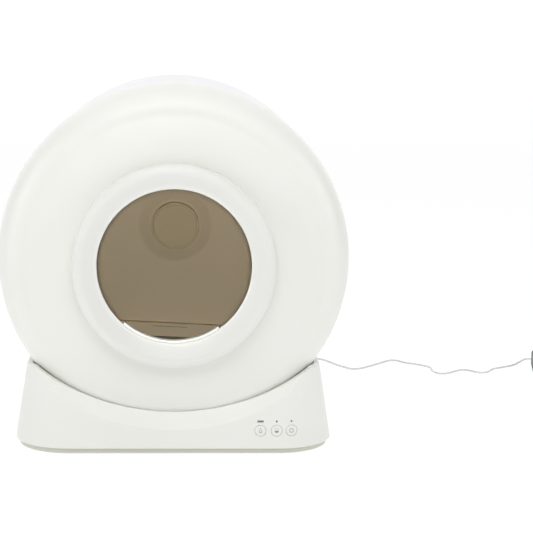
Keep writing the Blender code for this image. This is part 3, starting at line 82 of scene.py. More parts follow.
# Chamber, waste bin and latch
CHAMBER_RADIUS = 0.2364
CHAMBER_BACK = 0.2315
BACK_WALL = 0.2285           # inner face of the chamber's back
CHAMBER_FRONT = -0.2083
LINER_INSIDE = 0.2328        # as far out as pieces inside the liner reach
BOSS_HEIGHT = 0.008
BOSS_RADIUS, BOSS_FOOT = 0.0435, 0.0625
HUB_RADIUS = 0.0418
CAP_HEIGHT = 0.009
CAP_GROOVE = (0.0367, 0.0376, 0.0385)  # radii where the cap's fine groove starts, is deepest and ends
CAP_GROOVE_DEPTH = 0.0009
LEDGE_CHORD = 0.173          # drop of the ledge's straight upper edge below the axis
LEDGE_DEPTH = 0.012
LEDGE_EDGE = 0.0117
MARK_HALF_LENGTH = 0.0305
MARK_BOTTOM, MARK_TOP = -0.1797, -0.1783
MAT_HALF_ANGLE = math.radians(50)
MAT_FRONT = -0.191
MAT_THICKNESS = 0.004
MAT_FLANGE_CHORD = 0.1964
SHELF_RISE = 0.112           # height of the bin's floor over the axis
BIN_HALF = 0.150
BIN_CROWN = 0.212
BIN_FRONT = -0.175
BIN_WALL = 0.0025
BIN_INLET_SHARE = 0.8        # the inlet's share of the bin's length
BIN_INLET_DROP = 0.020
BIN_WINDOW_GAP = 0.002
BIN_WINDOW_NEAR, BIN_WINDOW_FAR = 0.215, 0.275
DOOR_DEPTH = 0.020
GRIP_HALF_LENGTH, GRIP_RADIUS = 0.038, 0.012
GRIP_RISE_SHARE = 0.62
LATCH_WINDOW = ((-0.0153, 0.1212), (0.0153, 0.1418))
LATCH_HALF_WIDTH = 0.015
LATCH_BOTTOM, LATCH_TOP = 0.1215, 0.1355
LATCH_NEAR = 0.252
TONGUE = ((-0.005, 0.2492, 0.1106), (0.005, 0.2542, 0.1285))
TONGUE_GAP = 0.0003
LATCH_RIBS, LATCH_RIB_PITCH, LATCH_RIB_HEIGHT = 4, 0.0028, 0.0012

# Cradle base
BASE_HALF_WIDTH = 0.2427
BASE_HALF_DEPTH = 0.2345
BASE_BOTTOM = 0.011
BASE_TOP = 0.131
FRONT_DRAFT = math.tan(math.radians(4.5))
SIDE_DRAFT = math.tan(math.radians(9.4))
CORNER_AT_BOTTOM = 0.086
CORNER_AT_TOP = 0.058
TROUGH_RADIUS = 0.2675       # the drum's bed
LIP_BACK = -0.2162           # where the bed's front rounding starts
LIP_CREST = -0.2195
LIP_RADIUS = 0.350           # circle of the front lip, and the height of its middle
LIP_CENTRE = 0.414
BEVEL_SLOPE = 26 / 13.5
MOUTH_REACH = 0.0250         # how far the coned mouth runs on in front of the lip
BED_BACK = 0.2445
BED_FRONT_SHARE = 0.65       # the bed's wall at its front, of the wall round its side
ROLLERS = ((-36, -0.146), (36, -0.146), (-36, 0.194), (36, 0.194))  # degrees round the drum, place along it
ROLLER_HALF_WIDTH = 0.010
ROLLER_WINDOW_HALF = 0.020
GEAR_WINDOW = (math.radians(-38), 0.0395, -0.1244, -0.0714)  # angle, half width, front, back
WINDOW_HALF_DEPTH = 0.0115
FEET = (0.1827, 0.1745)
FOOT_HOLE = 0.0163
PLINTH_BOTTOM = 0.002

# Control panel
BUTTONS = ((0.1306, 0.0083), (0.1551, 0.0083), (0.1776, 0.0083))  # place across, radius
BUTTON_RISE = 0.0383
BUTTON_GAP = 0.0004
LAMP_RISE = 0.0523
LAMP_BAR_HALF = 0.0048
LAMP_RADIUS = 0.0015
HOLE_REACH, LAMP_HOLE_REACH = 0.009, 0.012  # how far the cutting solids reach on both sides of the wall

# Lead, its plug and its coil
CORD = 0.0036
SOCKET = (0.140, 0.2325, 0.036)
SOCKET_HOLE = 0.0058
PLUG_PIN, PLUG_PIN_LENGTH = 0.0027, 0.0095
PLUG_GRIP, PLUG_GRIP_LENGTH = 0.0050, 0.0120
PLUG_RELIEF = 0.0040         # radius of its strain relief at the grip
PLUG_LENGTH = 0.034
RELIEF_NARROW, RELIEF_WIDE, RELIEF_FLANGE = 0.0027, 0.0043, 0.0045
RELIEF_LENGTH = 0.022
ROUTE_SPACING = 1.5 * CORD
ROUTE_SAMPLES = 20           # places worked out between two points of the route
COIL_AT = (0.598, 0.2275)    # the coil's middle, right of the socket and behind the base
COIL_TURNS = 6.875
COIL_PITCH = CORD * 1.14
COIL_RADIUS = 0.0215
COIL_START = math.radians(225)
COIL_TURN_STEPS = 24
LEAD_IN_LENGTH, LEAD_IN_RISE, LEAD_IN_STEPS = 0.028, 0.0048, 5
ROUTE = (                    # right of the socket, behind the base, over the floor
    (0.0215, 0.0883, 0.032), (0.0761, 0.1056, 0.029), (0.1293, 0.1101, 0.024), (0.1660, 0.1268, 0.008),
    (0.1909, 0.1364, 0.000), (0.2039, 0.1383, 0.000), (0.2312, 0.1663, 0.000), (0.2578, 0.1987, 0.000),
    (0.2703, 0.2126, 0.000), (0.2778, 0.2144, 0.000), (0.2852, 0.2115, 0.000), (0.2979, 0.1931, 0.000),
    (0.3217, 0.1748, 0.000), (0.3396, 0.1521, 0.000), (0.3398, 0.1244, 0.000), (0.3476, 0.1004, 0.000),
    (0.3604, 0.0973, 0.000), (0.3944, 0.1287, 0.000), (0.4061, 0.1280, 0.000), (0.4250, 0.1076, 0.000),
    (0.4386, 0.1085, 0.000), (0.4575, 0.1390, 0.000), (0.4792, 0.1546, 0.000), (0.5029, 0.1742, 0.000),
    (0.5181, 0.1985, 0.000), (0.5397, 0.2297, 0.000), (0.5577, 0.2276, 0.000),
)

DRUM = Matrix.Translation((0, 0, AXIS)) @ Matrix.Rotation(DRUM_TURN, 4, "Y")


# Camera

def set_camera():
    """The photograph's place and angle: a little above, a little to the right, almost level."""
    yaw, pitch, roll = CAMERA_YAW, CAMERA_PITCH, CAMERA_ROLL
    ahead = Vector((math.sin(yaw) * math.cos(pitch), math.cos(yaw) * math.cos(pitch), -math.sin(pitch)))
    level = Vector((math.cos(yaw), -math.sin(yaw), 0))
    above = level.cross(ahead)
    right = math.cos(roll) * level + math.sin(roll) * above
    up = -math.sin(roll) * level + math.cos(roll) * above
    turn = Matrix((right, up, -ahead)).transposed().to_4x4()
    data = bpy.data.cameras.new("camera")
    data.lens = CAMERA_LENS
    data.sensor_width = CAMERA_FILM
    data.clip_end = 60.0
    camera = bpy.data.objects.new("camera", data)
    bpy.context.scene.collection.objects.link(camera)
    camera.matrix_world = Matrix.Translation(CAMERA_AT) @ turn
    bpy.context.scene.camera = camera


set_camera()


# Finishes

class Finish:
    """A node material whose colour, gloss and relief are built up step by step."""

    def __init__(self, name, colour, roughness, metallic=0.0):
        self.made = bpy.data.materials.new(name)
        self.made.use_nodes = True
        self.nodes = self.made.node_tree.nodes
        self.links = self.made.node_tree.links
        self.shader = self.nodes["Principled BSDF"]
        self.shader.inputs["Base Color"].default_value = (*colour, 1)
        self.shader.inputs["Roughness"].default_value = roughness
        self.shader.inputs["Metallic"].default_value = metallic
        self.place = self.nodes.new("ShaderNodeTexCoord").outputs["Object"]
        self.normal = None

    def stretched(self, scale):
        node = self.nodes.new("ShaderNodeMapping")
        node.inputs["Scale"].default_value = scale
        self.links.new(self.place, node.inputs["Vector"])
        return node.outputs["Vector"]

    def noise(self, scale, detail=3.0, at=None):
        node = self.nodes.new("ShaderNodeTexNoise")
        node.inputs["Scale"].default_value = scale
        node.inputs["Detail"].default_value = detail
        self.links.new(at or self.place, node.inputs["Vector"])
        return node.outputs["Fac"]

    def ramp(self, value, low, high, dark, light):
        node = self.nodes.new("ShaderNodeValToRGB")
        node.color_ramp.elements[0].position = low
        node.color_ramp.elements[0].color = (*dark, 1)
        node.color_ramp.elements[1].position = high
        node.color_ramp.elements[1].color = (*light, 1)
        self.links.new(value, node.inputs["Fac"])
        return node.outputs["Color"]

    def tint(self, value, dark, light, low=0.35, high=0.65):
        self.links.new(self.ramp(value, low, high, dark, light), self.shader.inputs["Base Color"])
        return self

    def gloss(self, value, low, high):
        node = self.nodes.new("ShaderNodeMapRange")
        node.inputs["From Min"].default_value = 0.3
        node.inputs["From Max"].default_value = 0.7
        node.inputs["To Min"].default_value = low
        node.inputs["To Max"].default_value = high
        self.links.new(value, node.inputs["Value"])
        self.links.new(node.outputs["Result"], self.shader.inputs["Roughness"])
        return self

    def relief(self, value, depth, strength=1.0):
        node = self.nodes.new("ShaderNodeBump")
        node.inputs["Distance"].default_value = depth
        node.inputs["Strength"].default_value = strength
        self.links.new(value, node.inputs["Height"])
        if self.normal:
            self.links.new(self.normal, node.inputs["Normal"])
        self.normal = node.outputs["Normal"]
        self.links.new(self.normal, self.shader.inputs["Normal"])
        return self

    def constant(self, **values):
        for name, value in values.items():
            self.shader.inputs[name.replace("_", " ")].default_value = value
        return self


def moulded(name, light, shade, roughness, grain=900.0, depth=0.00003):
    """Injection moulded plastic: colour that drifts a little, uneven gloss, a fine spark-eroded grain."""
    skin = Finish(name, light, roughness)
    skin.tint(skin.noise(5.0, 2.0), shade, light)
    skin.gloss(skin.noise(38.0), roughness - 0.05, roughness + 0.06)
    skin.relief(skin.noise(14.0, 1.0), 0.00025, 0.35)
    skin.relief(skin.noise(grain, 2.0), depth, 0.6)
    return skin


warm_white = moulded("warm_white_shell", (0.858, 0.860, 0.820), (0.838, 0.840, 0.798), 0.36)
# The entry ring and threshold strip get the shell's white made darker: painted shade for the funnel's shaded,
# downward-facing surfaces. The ring is the same white plastic as the shell.
ring_white_painted_shade = moulded("entry_ring_white", (0.815, 0.818, 0.780), (0.797, 0.800, 0.762), 0.38)
warm_white.constant(Specular_IOR_Level=0.45)
cool_white = moulded("cool_white_shell", (0.865, 0.862, 0.885), (0.845, 0.842, 0.868), 0.34)
liner_taupe = moulded("taupe_liner_plastic", (0.600, 0.490, 0.325), (0.575, 0.468, 0.308), 0.62, 600.0,
                      0.00005)
liner_taupe.constant(Specular_IOR_Level=0.20)
cap_taupe = moulded("taupe_cap_plastic", (0.540, 0.438, 0.272), (0.518, 0.420, 0.260), 0.60, 600.0, 0.00004)
cap_taupe.constant(Specular_IOR_Level=0.20)
bin_grey = moulded("bin_grey_plastic", (0.42, 0.41, 0.39), (0.38, 0.37, 0.35), 0.45)
gear_grey = moulded("acetal_gear_plastic", (0.62, 0.61, 0.58), (0.57, 0.56, 0.53), 0.30, 1200.0, 0.00002)
# The plinth's colour is the shell's white made darker and yellower: painted shade for the shadow under the
# housing's overhang.
plinth_painted_shade = moulded("plinth_plastic", (0.655, 0.660, 0.572), (0.625, 0.630, 0.545), 0.48)
dark_plastic = moulded("dark_plastic", (0.035, 0.035, 0.038), (0.025, 0.025, 0.028), 0.42)
black_rubber = moulded("black_rubber", (0.045, 0.041, 0.038), (0.030, 0.028, 0.026), 0.72, 420.0, 0.00012)
mat_rubber = moulded("mat_rubber", (0.150, 0.122, 0.088), (0.125, 0.102, 0.074), 0.70, 420.0, 0.00012)
cord_grey = moulded("cord_sleeve", (0.76, 0.76, 0.755), (0.72, 0.72, 0.715), 0.38, 1500.0, 0.00002)
mark_brown = moulded("brown_printed_ink", (0.33, 0.265, 0.175), (0.30, 0.24, 0.16), 0.6)
ink_pale = moulded("pale_printed_ink", (0.58, 0.58, 0.56), (0.54, 0.54, 0.52), 0.55)
ink_grey = moulded("grey_printed_ink", (0.28, 0.28, 0.27), (0.25, 0.25, 0.24), 0.55)
lamp_smoke = moulded("lamp_lens", (0.210, 0.190, 0.290), (0.180, 0.160, 0.250), 0.20, 1500.0, 0.00001)

steel = Finish("brushed_steel", (0.63, 0.62, 0.60), 0.30, 1.0)
steel.tint(steel.noise(24.0), (0.55, 0.54, 0.53), (0.68, 0.67, 0.66))
steel.gloss(steel.noise(60.0, 4.0, steel.stretched((1, 30, 1))), 0.22, 0.42)
steel.relief(steel.noise(220.0, 2.0, steel.stretched((1, 24, 1))), 0.00002)

board_green = Finish("circuit_board", (0.02, 0.13, 0.05), 0.35)
board_green.tint(board_green.noise(420.0, 0.0), (0.015, 0.10, 0.04), (0.05, 0.20, 0.09), 0.48, 0.52)
board_green.relief(board_green.noise(420.0, 0.0), 0.00004)


# Making pieces

def linked(name, mesh):
    obj = bpy.data.objects.new(name, mesh)
    bpy.context.scene.collection.objects.link(obj)
    return obj


def piece(name, bm, skin, body, instead_of=(), sharp=32.0):
    """Files a finished shape as a piece that rides its body and stands for its CAD nodes."""
    mesh = bpy.data.meshes.new(name)
    bm.to_mesh(mesh)
    bm.free()
    obj = linked(name, mesh)
    mesh.shade_smooth()
    mesh.set_sharp_from_angle(angle=math.radians(sharp))
    mesh.materials.append(skin.made)
    if instead_of:
        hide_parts(*instead_of)
    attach(obj, body)
    return obj


def moved(bm, matrix):
    bmesh.ops.transform(bm, matrix=matrix, verts=bm.verts)
    return bm


def tidy(bm):
    bmesh.ops.remove_doubles(bm, verts=bm.verts, dist=0.000005)
    bmesh.ops.recalc_face_normals(bm, faces=bm.faces)
    return bm


def arc(centre, radius, start, end, steps, squash=1.0):
    points = []
    for i in range(steps + 1):
        a = start + (end - start) * i / steps
        points.append((centre[0] + radius * math.cos(a), centre[1] + radius * squash * math.sin(a)))
    return points


def rounded(corners, closed=True, steps=4):
    """The corners' outline, each third number the size of that corner's rounding."""
    points = []
    count = len(corners)
    for i, corner in enumerate(corners):
        here = Vector(corner[:2])
        size = corner[2] if len(corner) > 2 else 0
        if not size or (not closed and i in (0, count - 1)):
            points.append(tuple(here))
            continue
        before = Vector(corners[i - 1][:2]) - here
        after = Vector(corners[(i + 1) % count][:2]) - here
        start = here + before.normalized() * min(size, before.length * 0.45)
        end = here + after.normalized() * min(size, after.length * 0.45)
        for k in range(steps + 1):
            t = k / steps
            points.append(tuple(start * (1 - t) ** 2 + here * 2 * t * (1 - t) + end * t ** 2))
    return points


def walled(skin, wall):
    """A closed section: a skin, and the same line again a wall's thickness to its right."""
    inner = []
    for i, point in enumerate(skin):
        before, after = Vector(skin[max(i - 1, 0)]), Vector(skin[min(i + 1, len(skin) - 1)])
        here = Vector(point)
        first = (here - before).normalized() if i else (after - here).normalized()
        second = (after - here).normalized() if i < len(skin) - 1 else first
        along = (first + second).normalized()
        stretch = 1 / max(along.dot(first), 0.5)
        inner.append(tuple(here + Vector((along.y, -along.x)) * wall * stretch))
    return list(skin) + inner[::-1]


def turned(section, steps=192):
    """A closed section of (radius, along) points spun about the Y axis."""
    bm = bmesh.new()
    verts = [bm.verts.new((r, y, 0)) for r, y in section]
    edges = []
    for a, b in zip(verts, verts[1:] + verts[:1]):
        if a.co.x > 0 or b.co.x > 0:
            edges.append(bm.edges.new((a, b)))
    bmesh.ops.spin(bm, geom=verts + edges, cent=(0, 0, 0), axis=(0, 1, 0), angle=2 * math.pi, steps=steps,
                   use_merge=True)
    return tidy(bm)


def eased(bm, edges, width, segments):
    bmesh.ops.bevel(bm, geom=edges, offset=width, offset_type="OFFSET", segments=segments, profile=0.5,
                    affect="EDGES", clamp_overlap=True, material=-1)


def plate(outlines, near, far, edge=0.0, segments=2):
    """Flat outlines in (x, z), the first the rim and the others holes, from y near to y far."""
    bm = bmesh.new()
    edges = []
    for outline in outlines:
        verts = [bm.verts.new((x, near, z)) for x, z in outline]
        edges += [bm.edges.new(pair) for pair in zip(verts, verts[1:] + verts[:1])]
    bmesh.ops.triangle_fill(bm, use_beauty=True, edges=edges)
    bmesh.ops.dissolve_limit(bm, angle_limit=0.01, use_dissolve_boundaries=False, verts=bm.verts,
                             edges=bm.edges)
    grown = bmesh.ops.extrude_face_region(bm, geom=bm.faces[:], use_keep_orig=True)
    fresh = [g for g in grown["geom"] if isinstance(g, bmesh.types.BMVert)]
    bmesh.ops.translate(bm, vec=(0, far - near, 0), verts=fresh)
    bmesh.ops.recalc_face_normals(bm, faces=bm.faces)
    if edge:
        rims = [e for e in bm.edges if len(e.link_faces) == 2 and e.calc_face_angle(0) > 1.0
                and abs(e.verts[0].co.y - e.verts[1].co.y) < 1e-7]
        eased(bm, rims, edge, segments)
    return tidy(bm)


def block(low, high, edge=0.0, segments=2):
    bm = bmesh.new()
    bmesh.ops.create_cube(bm, size=1.0)
    size = Vector(high) - Vector(low)
    moved(bm, Matrix.Translation((Vector(low) + Vector(high)) / 2) @ Matrix.Diagonal((*size, 1)))
    if edge:
        eased(bm, bm.edges[:], edge, segments)
    return tidy(bm)


def rod(radius, near, far, steps=96):
    """A round rod along Y."""
    bm = bmesh.new()
    bmesh.ops.create_cone(bm, cap_ends=True, segments=steps, radius1=radius, radius2=radius, depth=far - near)
    turn = Matrix.Translation((0, (near + far) / 2, 0)) @ Matrix.Rotation(-math.pi / 2, 4, "X")
    return moved(bm, turn)


def carved(bm, tools):
    """The shape with each tool's solid taken out of it."""
    mesh = bpy.data.meshes.new("carved")
    bm.to_mesh(mesh)
    bm.free()
    body = linked("carved", mesh)
    spare = [body]
    for tool in tools:
        knife_mesh = bpy.data.meshes.new("knife")
        tool.to_mesh(knife_mesh)
        tool.free()
        knife = linked("knife", knife_mesh)
        spare.append(knife)
        step = body.modifiers.new("cut", "BOOLEAN")
        step.operation = "DIFFERENCE"
        step.solver = "EXACT"
        step.object = knife
    depsgraph = bpy.context.evaluated_depsgraph_get()
    depsgraph.update()
    result = bmesh.new()
    result.from_mesh(body.evaluated_get(depsgraph).to_mesh())
    for obj in spare:
        bpy.data.objects.remove(obj)
    return result


def joined(first, *others):
    """Several shapes as one mesh."""
    for other in others:
        mesh = bpy.data.meshes.new("joined")
        other.to_mesh(mesh)
        other.free()
        first.from_mesh(mesh)
        bpy.data.meshes.remove(mesh)
    return first


def circle(radius, steps, centre=(0, 0)):
    return arc(centre, radius, 0, 2 * math.pi * (steps - 1) / steps, steps - 1)


# Lead

def smooth_route(points, spacing):
    """Even steps along one smooth curve through the route's points."""
    points = [Vector(p) for p in points]
    ends = [points[0] * 2 - points[1]] + points + [points[-1] * 2 - points[-2]]
    fine = []
    for a, b, c, d in zip(ends, ends[1:], ends[2:], ends[3:]):
        t0, t1 = 0.0, (b - a).length ** 0.5
        t2 = t1 + (c - b).length ** 0.5
        t3 = t2 + (d - c).length ** 0.5
        for i in range(ROUTE_SAMPLES):
            t = t1 + (t2 - t1) * i / ROUTE_SAMPLES
            ab = a * ((t1 - t) / (t1 - t0)) + b * ((t - t0) / (t1 - t0))
            bc = b * ((t2 - t) / (t2 - t1)) + c * ((t - t1) / (t2 - t1))
            cd = c * ((t3 - t) / (t3 - t2)) + d * ((t - t2) / (t3 - t2))
            abc = ab * ((t2 - t) / (t2 - t0)) + bc * ((t - t0) / (t2 - t0))
            bcd = bc * ((t3 - t) / (t3 - t1)) + cd * ((t - t1) / (t3 - t1))
            fine.append(abc * ((t2 - t) / (t2 - t1)) + bcd * ((t - t1) / (t2 - t1)))
    fine.append(points[-1])
    total = sum((b - a).length for a, b in zip(fine, fine[1:]))
    count = max(2, round(total / spacing))
    even, run, due = [fine[0]], 0.0, total / count
    for a, b in zip(fine, fine[1:]):
        length = (b - a).length
        while run + length >= due - 1e-9 and len(even) < count:
            even.append(a + (b - a) * ((due - run) / length))
            due += total / count
        run += length
    return even + [fine[-1]]


def coil_points():
    """Two layers of round turns, in on the lower and out on the upper, then straight to the adapter."""
    middle = (SOCKET[0] + COIL_AT[0], BASE_HALF_DEPTH + COIL_AT[1])
    half_turns = COIL_TURNS / 2
    inner = COIL_RADIUS - COIL_PITCH * COIL_TURNS / 4
    points = []
    for i in range(int(COIL_TURNS * COIL_TURN_STEPS) + 1):
        turn = i / COIL_TURN_STEPS
        angle = COIL_START + 2 * math.pi * turn
        spiral = inner + COIL_PITCH * abs(half_turns - turn)
        climb = min(max((turn - half_turns) / 0.5 + 0.5, 0.0), 1.0)
        height = CORD / 2 + COIL_PITCH * climb * climb * (3 - 2 * climb)
        points.append(Vector((middle[0] + spiral * math.cos(angle), middle[1] + spiral * math.sin(angle),
                              height)))
    last = points[-1]
    way = last - points[-2]
    way.z = 0
    way.normalize()
    for i in range(1, LEAD_IN_STEPS + 1):
        share = i / LEAD_IN_STEPS
        at = last + way * LEAD_IN_LENGTH * share
        at.z = last.z + (LEAD_IN_RISE - last.z) * share * share * (3 - 2 * share)
        points.append(at)
    return points


def lead(ends):
    """One wire from the plug along the floor and round its coil to the adapter."""
    radius = CORD / 2
    exit_y = SOCKET[1] + FIT + PLUG_LENGTH
    coil = coil_points()
    way = (coil[0] - coil[1]).normalized()
    route = [(SOCKET[0], exit_y + FIT, SOCKET[2]), (SOCKET[0], exit_y + 3 * CORD, SOCKET[2])]
    route += [(SOCKET[0] + x, BASE_HALF_DEPTH + y, z + radius) for x, y, z in ROUTE]
    route += [coil[0] + way * CORD * 3]
    points = smooth_route(route + [coil[0]], ROUTE_SPACING)[:-1] + coil
    curve = bpy.data.curves.new("power_lead", "CURVE")
    curve.dimensions = "3D"
    curve.bevel_depth = radius
    curve.bevel_resolution = 4
    curve.use_fill_caps = True
    spline = curve.splines.new("POLY")
    spline.points.add(len(points) - 1)
    for point, at in zip(spline.points, points):
        point.co = (*at, 1)
    spline.use_smooth = True
    obj = linked("power_lead", curve)
    curve.materials.append(cord_grey.made)
    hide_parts("power_cord", "power_cord_coil")
    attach(obj, "base")


# Plug and strain reliefs

def ribbed(start, end, wide, narrow, ribs=6, groove=0.0006):
    """The line of a tapered relief with rings cut round it, from its wide end to its narrow one."""
    line, slope = [(wide, start)], 0.02
    for i in range(ribs):
        low, high = (i + 0.30) / ribs, (i + 0.75) / ribs
        for share, depth in ((low, 0), (low + slope, groove), (high - slope, groove), (high, 0)):
            line.append((wide + (narrow - wide) * share - depth, start + (end - start) * share))
    return line + [(narrow, end)]


def plug():
    """A barrel plug: its pin in the socket, a round grip, and a tapered ribbed relief."""
    pin, grip, out = PLUG_PIN, PLUG_GRIP, SOCKET[1] + FIT
    tip, grip_end, end = SOCKET[1] - PLUG_PIN_LENGTH, out + PLUG_GRIP_LENGTH, out + PLUG_LENGTH
    section = [(0, tip), (pin - 0.0003, tip), (pin, tip + 0.0003), (pin, out), (grip - 0.0006, out),
               (grip, out + 0.0006), (grip, grip_end - 0.0008), (grip - 0.0004, grip_end)]
    section += ribbed(grip_end + 0.0002, end, PLUG_RELIEF, CORD / 2 + FIT) + [(0, end)]
    return moved(turned(section, 48), Matrix.Translation((SOCKET[0], 0, SOCKET[2])))


def adapter_relief():
    """The tapered ribbed relief where the lead enters the adapter."""
    points = coil_points()
    end, before = points[-1], points[-2]
    way = Vector((end.x - before.x, end.y - before.y, 0)).normalized()
    start = end + way * FIT
    section = [(0, 0)] + ribbed(0, RELIEF_LENGTH - 0.0004, RELIEF_NARROW, RELIEF_WIDE)
    section += [(RELIEF_FLANGE, RELIEF_LENGTH - 0.0001), (RELIEF_FLANGE, RELIEF_LENGTH), (0, RELIEF_LENGTH)]
    turn = Matrix.Rotation(math.atan2(way.y, way.x) - math.pi / 2, 4, "Z")
    return moved(turned(section, 40), Matrix.Translation(start) @ turn)


lead([piece("plug_and_relief", plug(), dark_plastic, "base", ["lead_plug"]),
      piece("adapter_lead_relief", adapter_relief(), dark_plastic, "base", ["adapter_relief"])])


# Drum covers

def front_cover():
    """A shallow domed disc with a wide elliptical rounding and a flange behind."""
    edge, dome_rings = DRUM_RADIUS - ROUNDING_WIDTH, 12
    ease, nick = 0.0012, 0.0003
    skin = [(COVER_FLANGE, SEAM), (DRUM_RADIUS - ease, SEAM), (DRUM_RADIUS - nick, SEAM - nick),
            (DRUM_RADIUS, SEAM - ease)]
    squash = (RIM_START - ROUND_START) / ROUNDING_WIDTH
    skin += arc((edge, RIM_START), ROUNDING_WIDTH, 0, -math.pi / 2, 24, squash)
    for i in range(1, dome_rings):
        share = 1 - i / dome_rings
        skin.append((RING_RADIUS + (edge - RING_RADIUS) * share, FACE + FACE_DOME * share ** DOME_POWER))
    skin += [(RING_RADIUS, FACE), (OPENING + THROAT_EDGE + WALL + FIT, FACE)]
    return moved(turned(walled(skin, WALL), ROUND_STEPS), DRUM)


piece("front_cover", front_cover(), warm_white, "drum", ["drum_front_shell"])


def bin_outline(grow=0.0, steps=40):
    """The bin's section: a flat floor, short sides and the drum's curve over it."""
    half, crown = BIN_HALF + grow, BIN_CROWN + grow
    side = math.acos(half / crown)
    floor = SHELF_RISE + FIT - grow
    return [(-half, floor), (half, floor)] + arc((0, 0), crown, side, math.pi - side, steps)


def bin_window():
    """The solid that cuts the bin's way out through the liner and the back panel."""
    return plate([bin_outline(BIN_WINDOW_GAP)], BIN_WINDOW_NEAR, BIN_WINDOW_FAR)


def rear_barrel():
    """The barrel: shoulder, rounded back edge, and the rebate that the back panel sits in."""
    seat, ease = BACK - WALL - FIT, 0.0006
    skin = [(PANEL_RADIUS - PANEL_SEAT, seat), (PANEL_RADIUS, seat, ease), (PANEL_RADIUS, BACK - ease)]
    skin += arc((PANEL_RADIUS, BACK - REAR_ROUNDING), REAR_ROUNDING, math.radians(89), 0, 20)
    skin += [(REAR_RADIUS, SHOULDER, 0.001), (BARREL_FLANGE, SHOULDER, 0.0005),
             (BARREL_FLANGE, SEAM - WALL - FIT)]
    return moved(turned(walled(rounded(skin, closed=False), WALL), ROUND_STEPS), DRUM)


def back_panel():
    """The flat back with its edges eased, cut out for the bin."""
    inner, outer, front, ease = HUB_CUP + WALL + 2 * FIT, PANEL_RADIUS - FIT, BACK - WALL, 0.0008
    section = [(inner, front), (outer, front), (outer, BACK, ease), (inner, BACK, ease)]
    return moved(carved(turned(rounded(section), ROUND_STEPS), [bin_window()]), DRUM)


def hub_cup():
    """A finger deep cup with a filleted floor and a rolled rim."""
    floor = CHAMBER_BACK - BOSS_HEIGHT + FIT + WALL
    skin = [(BOLT_HOLE, floor), (HUB_CUP - WALL, floor, 0.006), (HUB_CUP - 0.0003, BACK - 0.001, 0.001),
            (HUB_CUP + 0.0012, BACK)]
    return moved(turned(walled(rounded(skin, closed=False), WALL), 96), DRUM)


piece("rear_barrel", rear_barrel(), cool_white, "drum", ["drum_rear_shell"])
piece("back_panel", back_panel(), cool_white, "drum", ["drum_back_panel"])
piece("hub_well", hub_cup(), cool_white, "drum", ["hub_cup"])


def ring():
    """The raised entry ring: outer flank, rounded crest, funnel, stepped throat and sleeve."""
    crest = (RING_RADIUS - CREST_ROUND, FRONT + CREST_ROUND)
    funnel_end = FRONT + FUNNEL_DEPTH
    throat, sleeve, foot = funnel_end + 0.003, OPENING + THROAT_EDGE, FACE - FIT
    section = [(sleeve + WALL, SLEEVE_END), (sleeve, SLEEVE_END), (sleeve, throat + 0.0032),
               (OPENING, throat + 0.0022), (OPENING, throat + 0.0004), (OPENING + 0.0006, throat - 0.0006),
               (OPENING + 0.0036, funnel_end)]
    section += arc(crest, CREST_ROUND, -CREST_ARC, 0, 20)
    section += [(RING_RADIUS, foot - 0.0012), (RING_RADIUS - 0.0006, foot), (RING_RADIUS - WALL, foot)]
    section += arc(crest, CREST_ROUND - WALL, 0, -CREST_ARC, 10)
    section += [(sleeve + WALL, funnel_end + WALL + FIT)]
    return moved(turned(section, ROUND_STEPS), DRUM)


piece("entry_rim", ring(), ring_white_painted_shade, "drum", ["entry_ring"])


def swept(section, start, end, steps):
    """A closed section of (radius, along) points spun about the Y axis, its two ends closed.

    The angles of its start and end count from straight down.
    """
    bm = bmesh.new()
    turn = Matrix.Rotation(start, 3, "Y")
    verts = [bm.verts.new(turn @ Vector((0, y, -r))) for r, y in section]
    edges = [bm.edges.new(pair) for pair in zip(verts, verts[1:] + verts[:1])]
    bmesh.ops.spin(bm, geom=verts + edges, cent=(0, 0, 0), axis=(0, 1, 0), angle=end - start, steps=steps)
    bmesh.ops.holes_fill(bm, edges=[e for e in bm.edges if e.is_boundary], sides=0)
    return tidy(bm)


def threshold():
    """The strip along the bottom of the opening: flush with the funnel in front, falling away behind."""
    outer, crest = OPENING - FIT, OPENING - FIT - STRIP_THICKNESS
    near = FRONT + FUNNEL_DEPTH + 0.0012
    section = [(outer, near + 0.0024), (outer, near, 0.0004), (crest, near, 0.0022),
               (crest + 0.0003, near + 0.004, 0.001), (outer - 0.0003, near + 0.0255, 0.0004),
               (outer, near + STRIP_DEPTH, 0.0004)]
    return moved(swept(rounded(section, steps=5), -STRIP_HALF_ANGLE, STRIP_HALF_ANGLE, 64), DRUM)


piece("threshold_strip", threshold(), ring_white_painted_shade, "drum", ["entry_lip"])


# Inside the drum

def liner():
    """The litter chamber: a cup with a boss in the middle of its back."""
    boss = CHAMBER_BACK - BOSS_HEIGHT
    skin = [(CHAMBER_RADIUS, CHAMBER_FRONT), (CHAMBER_RADIUS, CHAMBER_BACK, 0.008),
            (BOSS_FOOT, CHAMBER_BACK, 0.004), (BOSS_RADIUS, boss, 0.004), (BOLT_HOLE, boss)]
    cup = turned(walled(rounded(skin, closed=False, steps=6), -WALL), 192)
    return moved(carved(cup, [bin_window()]), DRUM)


piece("drum_liner", liner(), liner_taupe, "drum", ["litter_chamber"])


def hub_cap():
    """The taupe cap on the boss: a hollow disc with a fine groove near its rounded edge."""
    seat = BACK_WALL - BOSS_HEIGHT
    front, inside = seat - CAP_HEIGHT, HUB_RADIUS - WALL
    ease, (start, middle, end) = 0.0003, CAP_GROOVE
    section = [(0, front), (0.030, front, 0.002), (start, front, ease),
               (middle, front + CAP_GROOVE_DEPTH, ease), (end, front, ease), (HUB_RADIUS, front, 0.0028),
               (HUB_RADIUS, seat - FIT, 0.0004), (inside, seat - FIT, ease), (inside, front + WALL, 0.001),
               (0, front + WALL)]
    return moved(turned(rounded(section, steps=5), 96), DRUM)


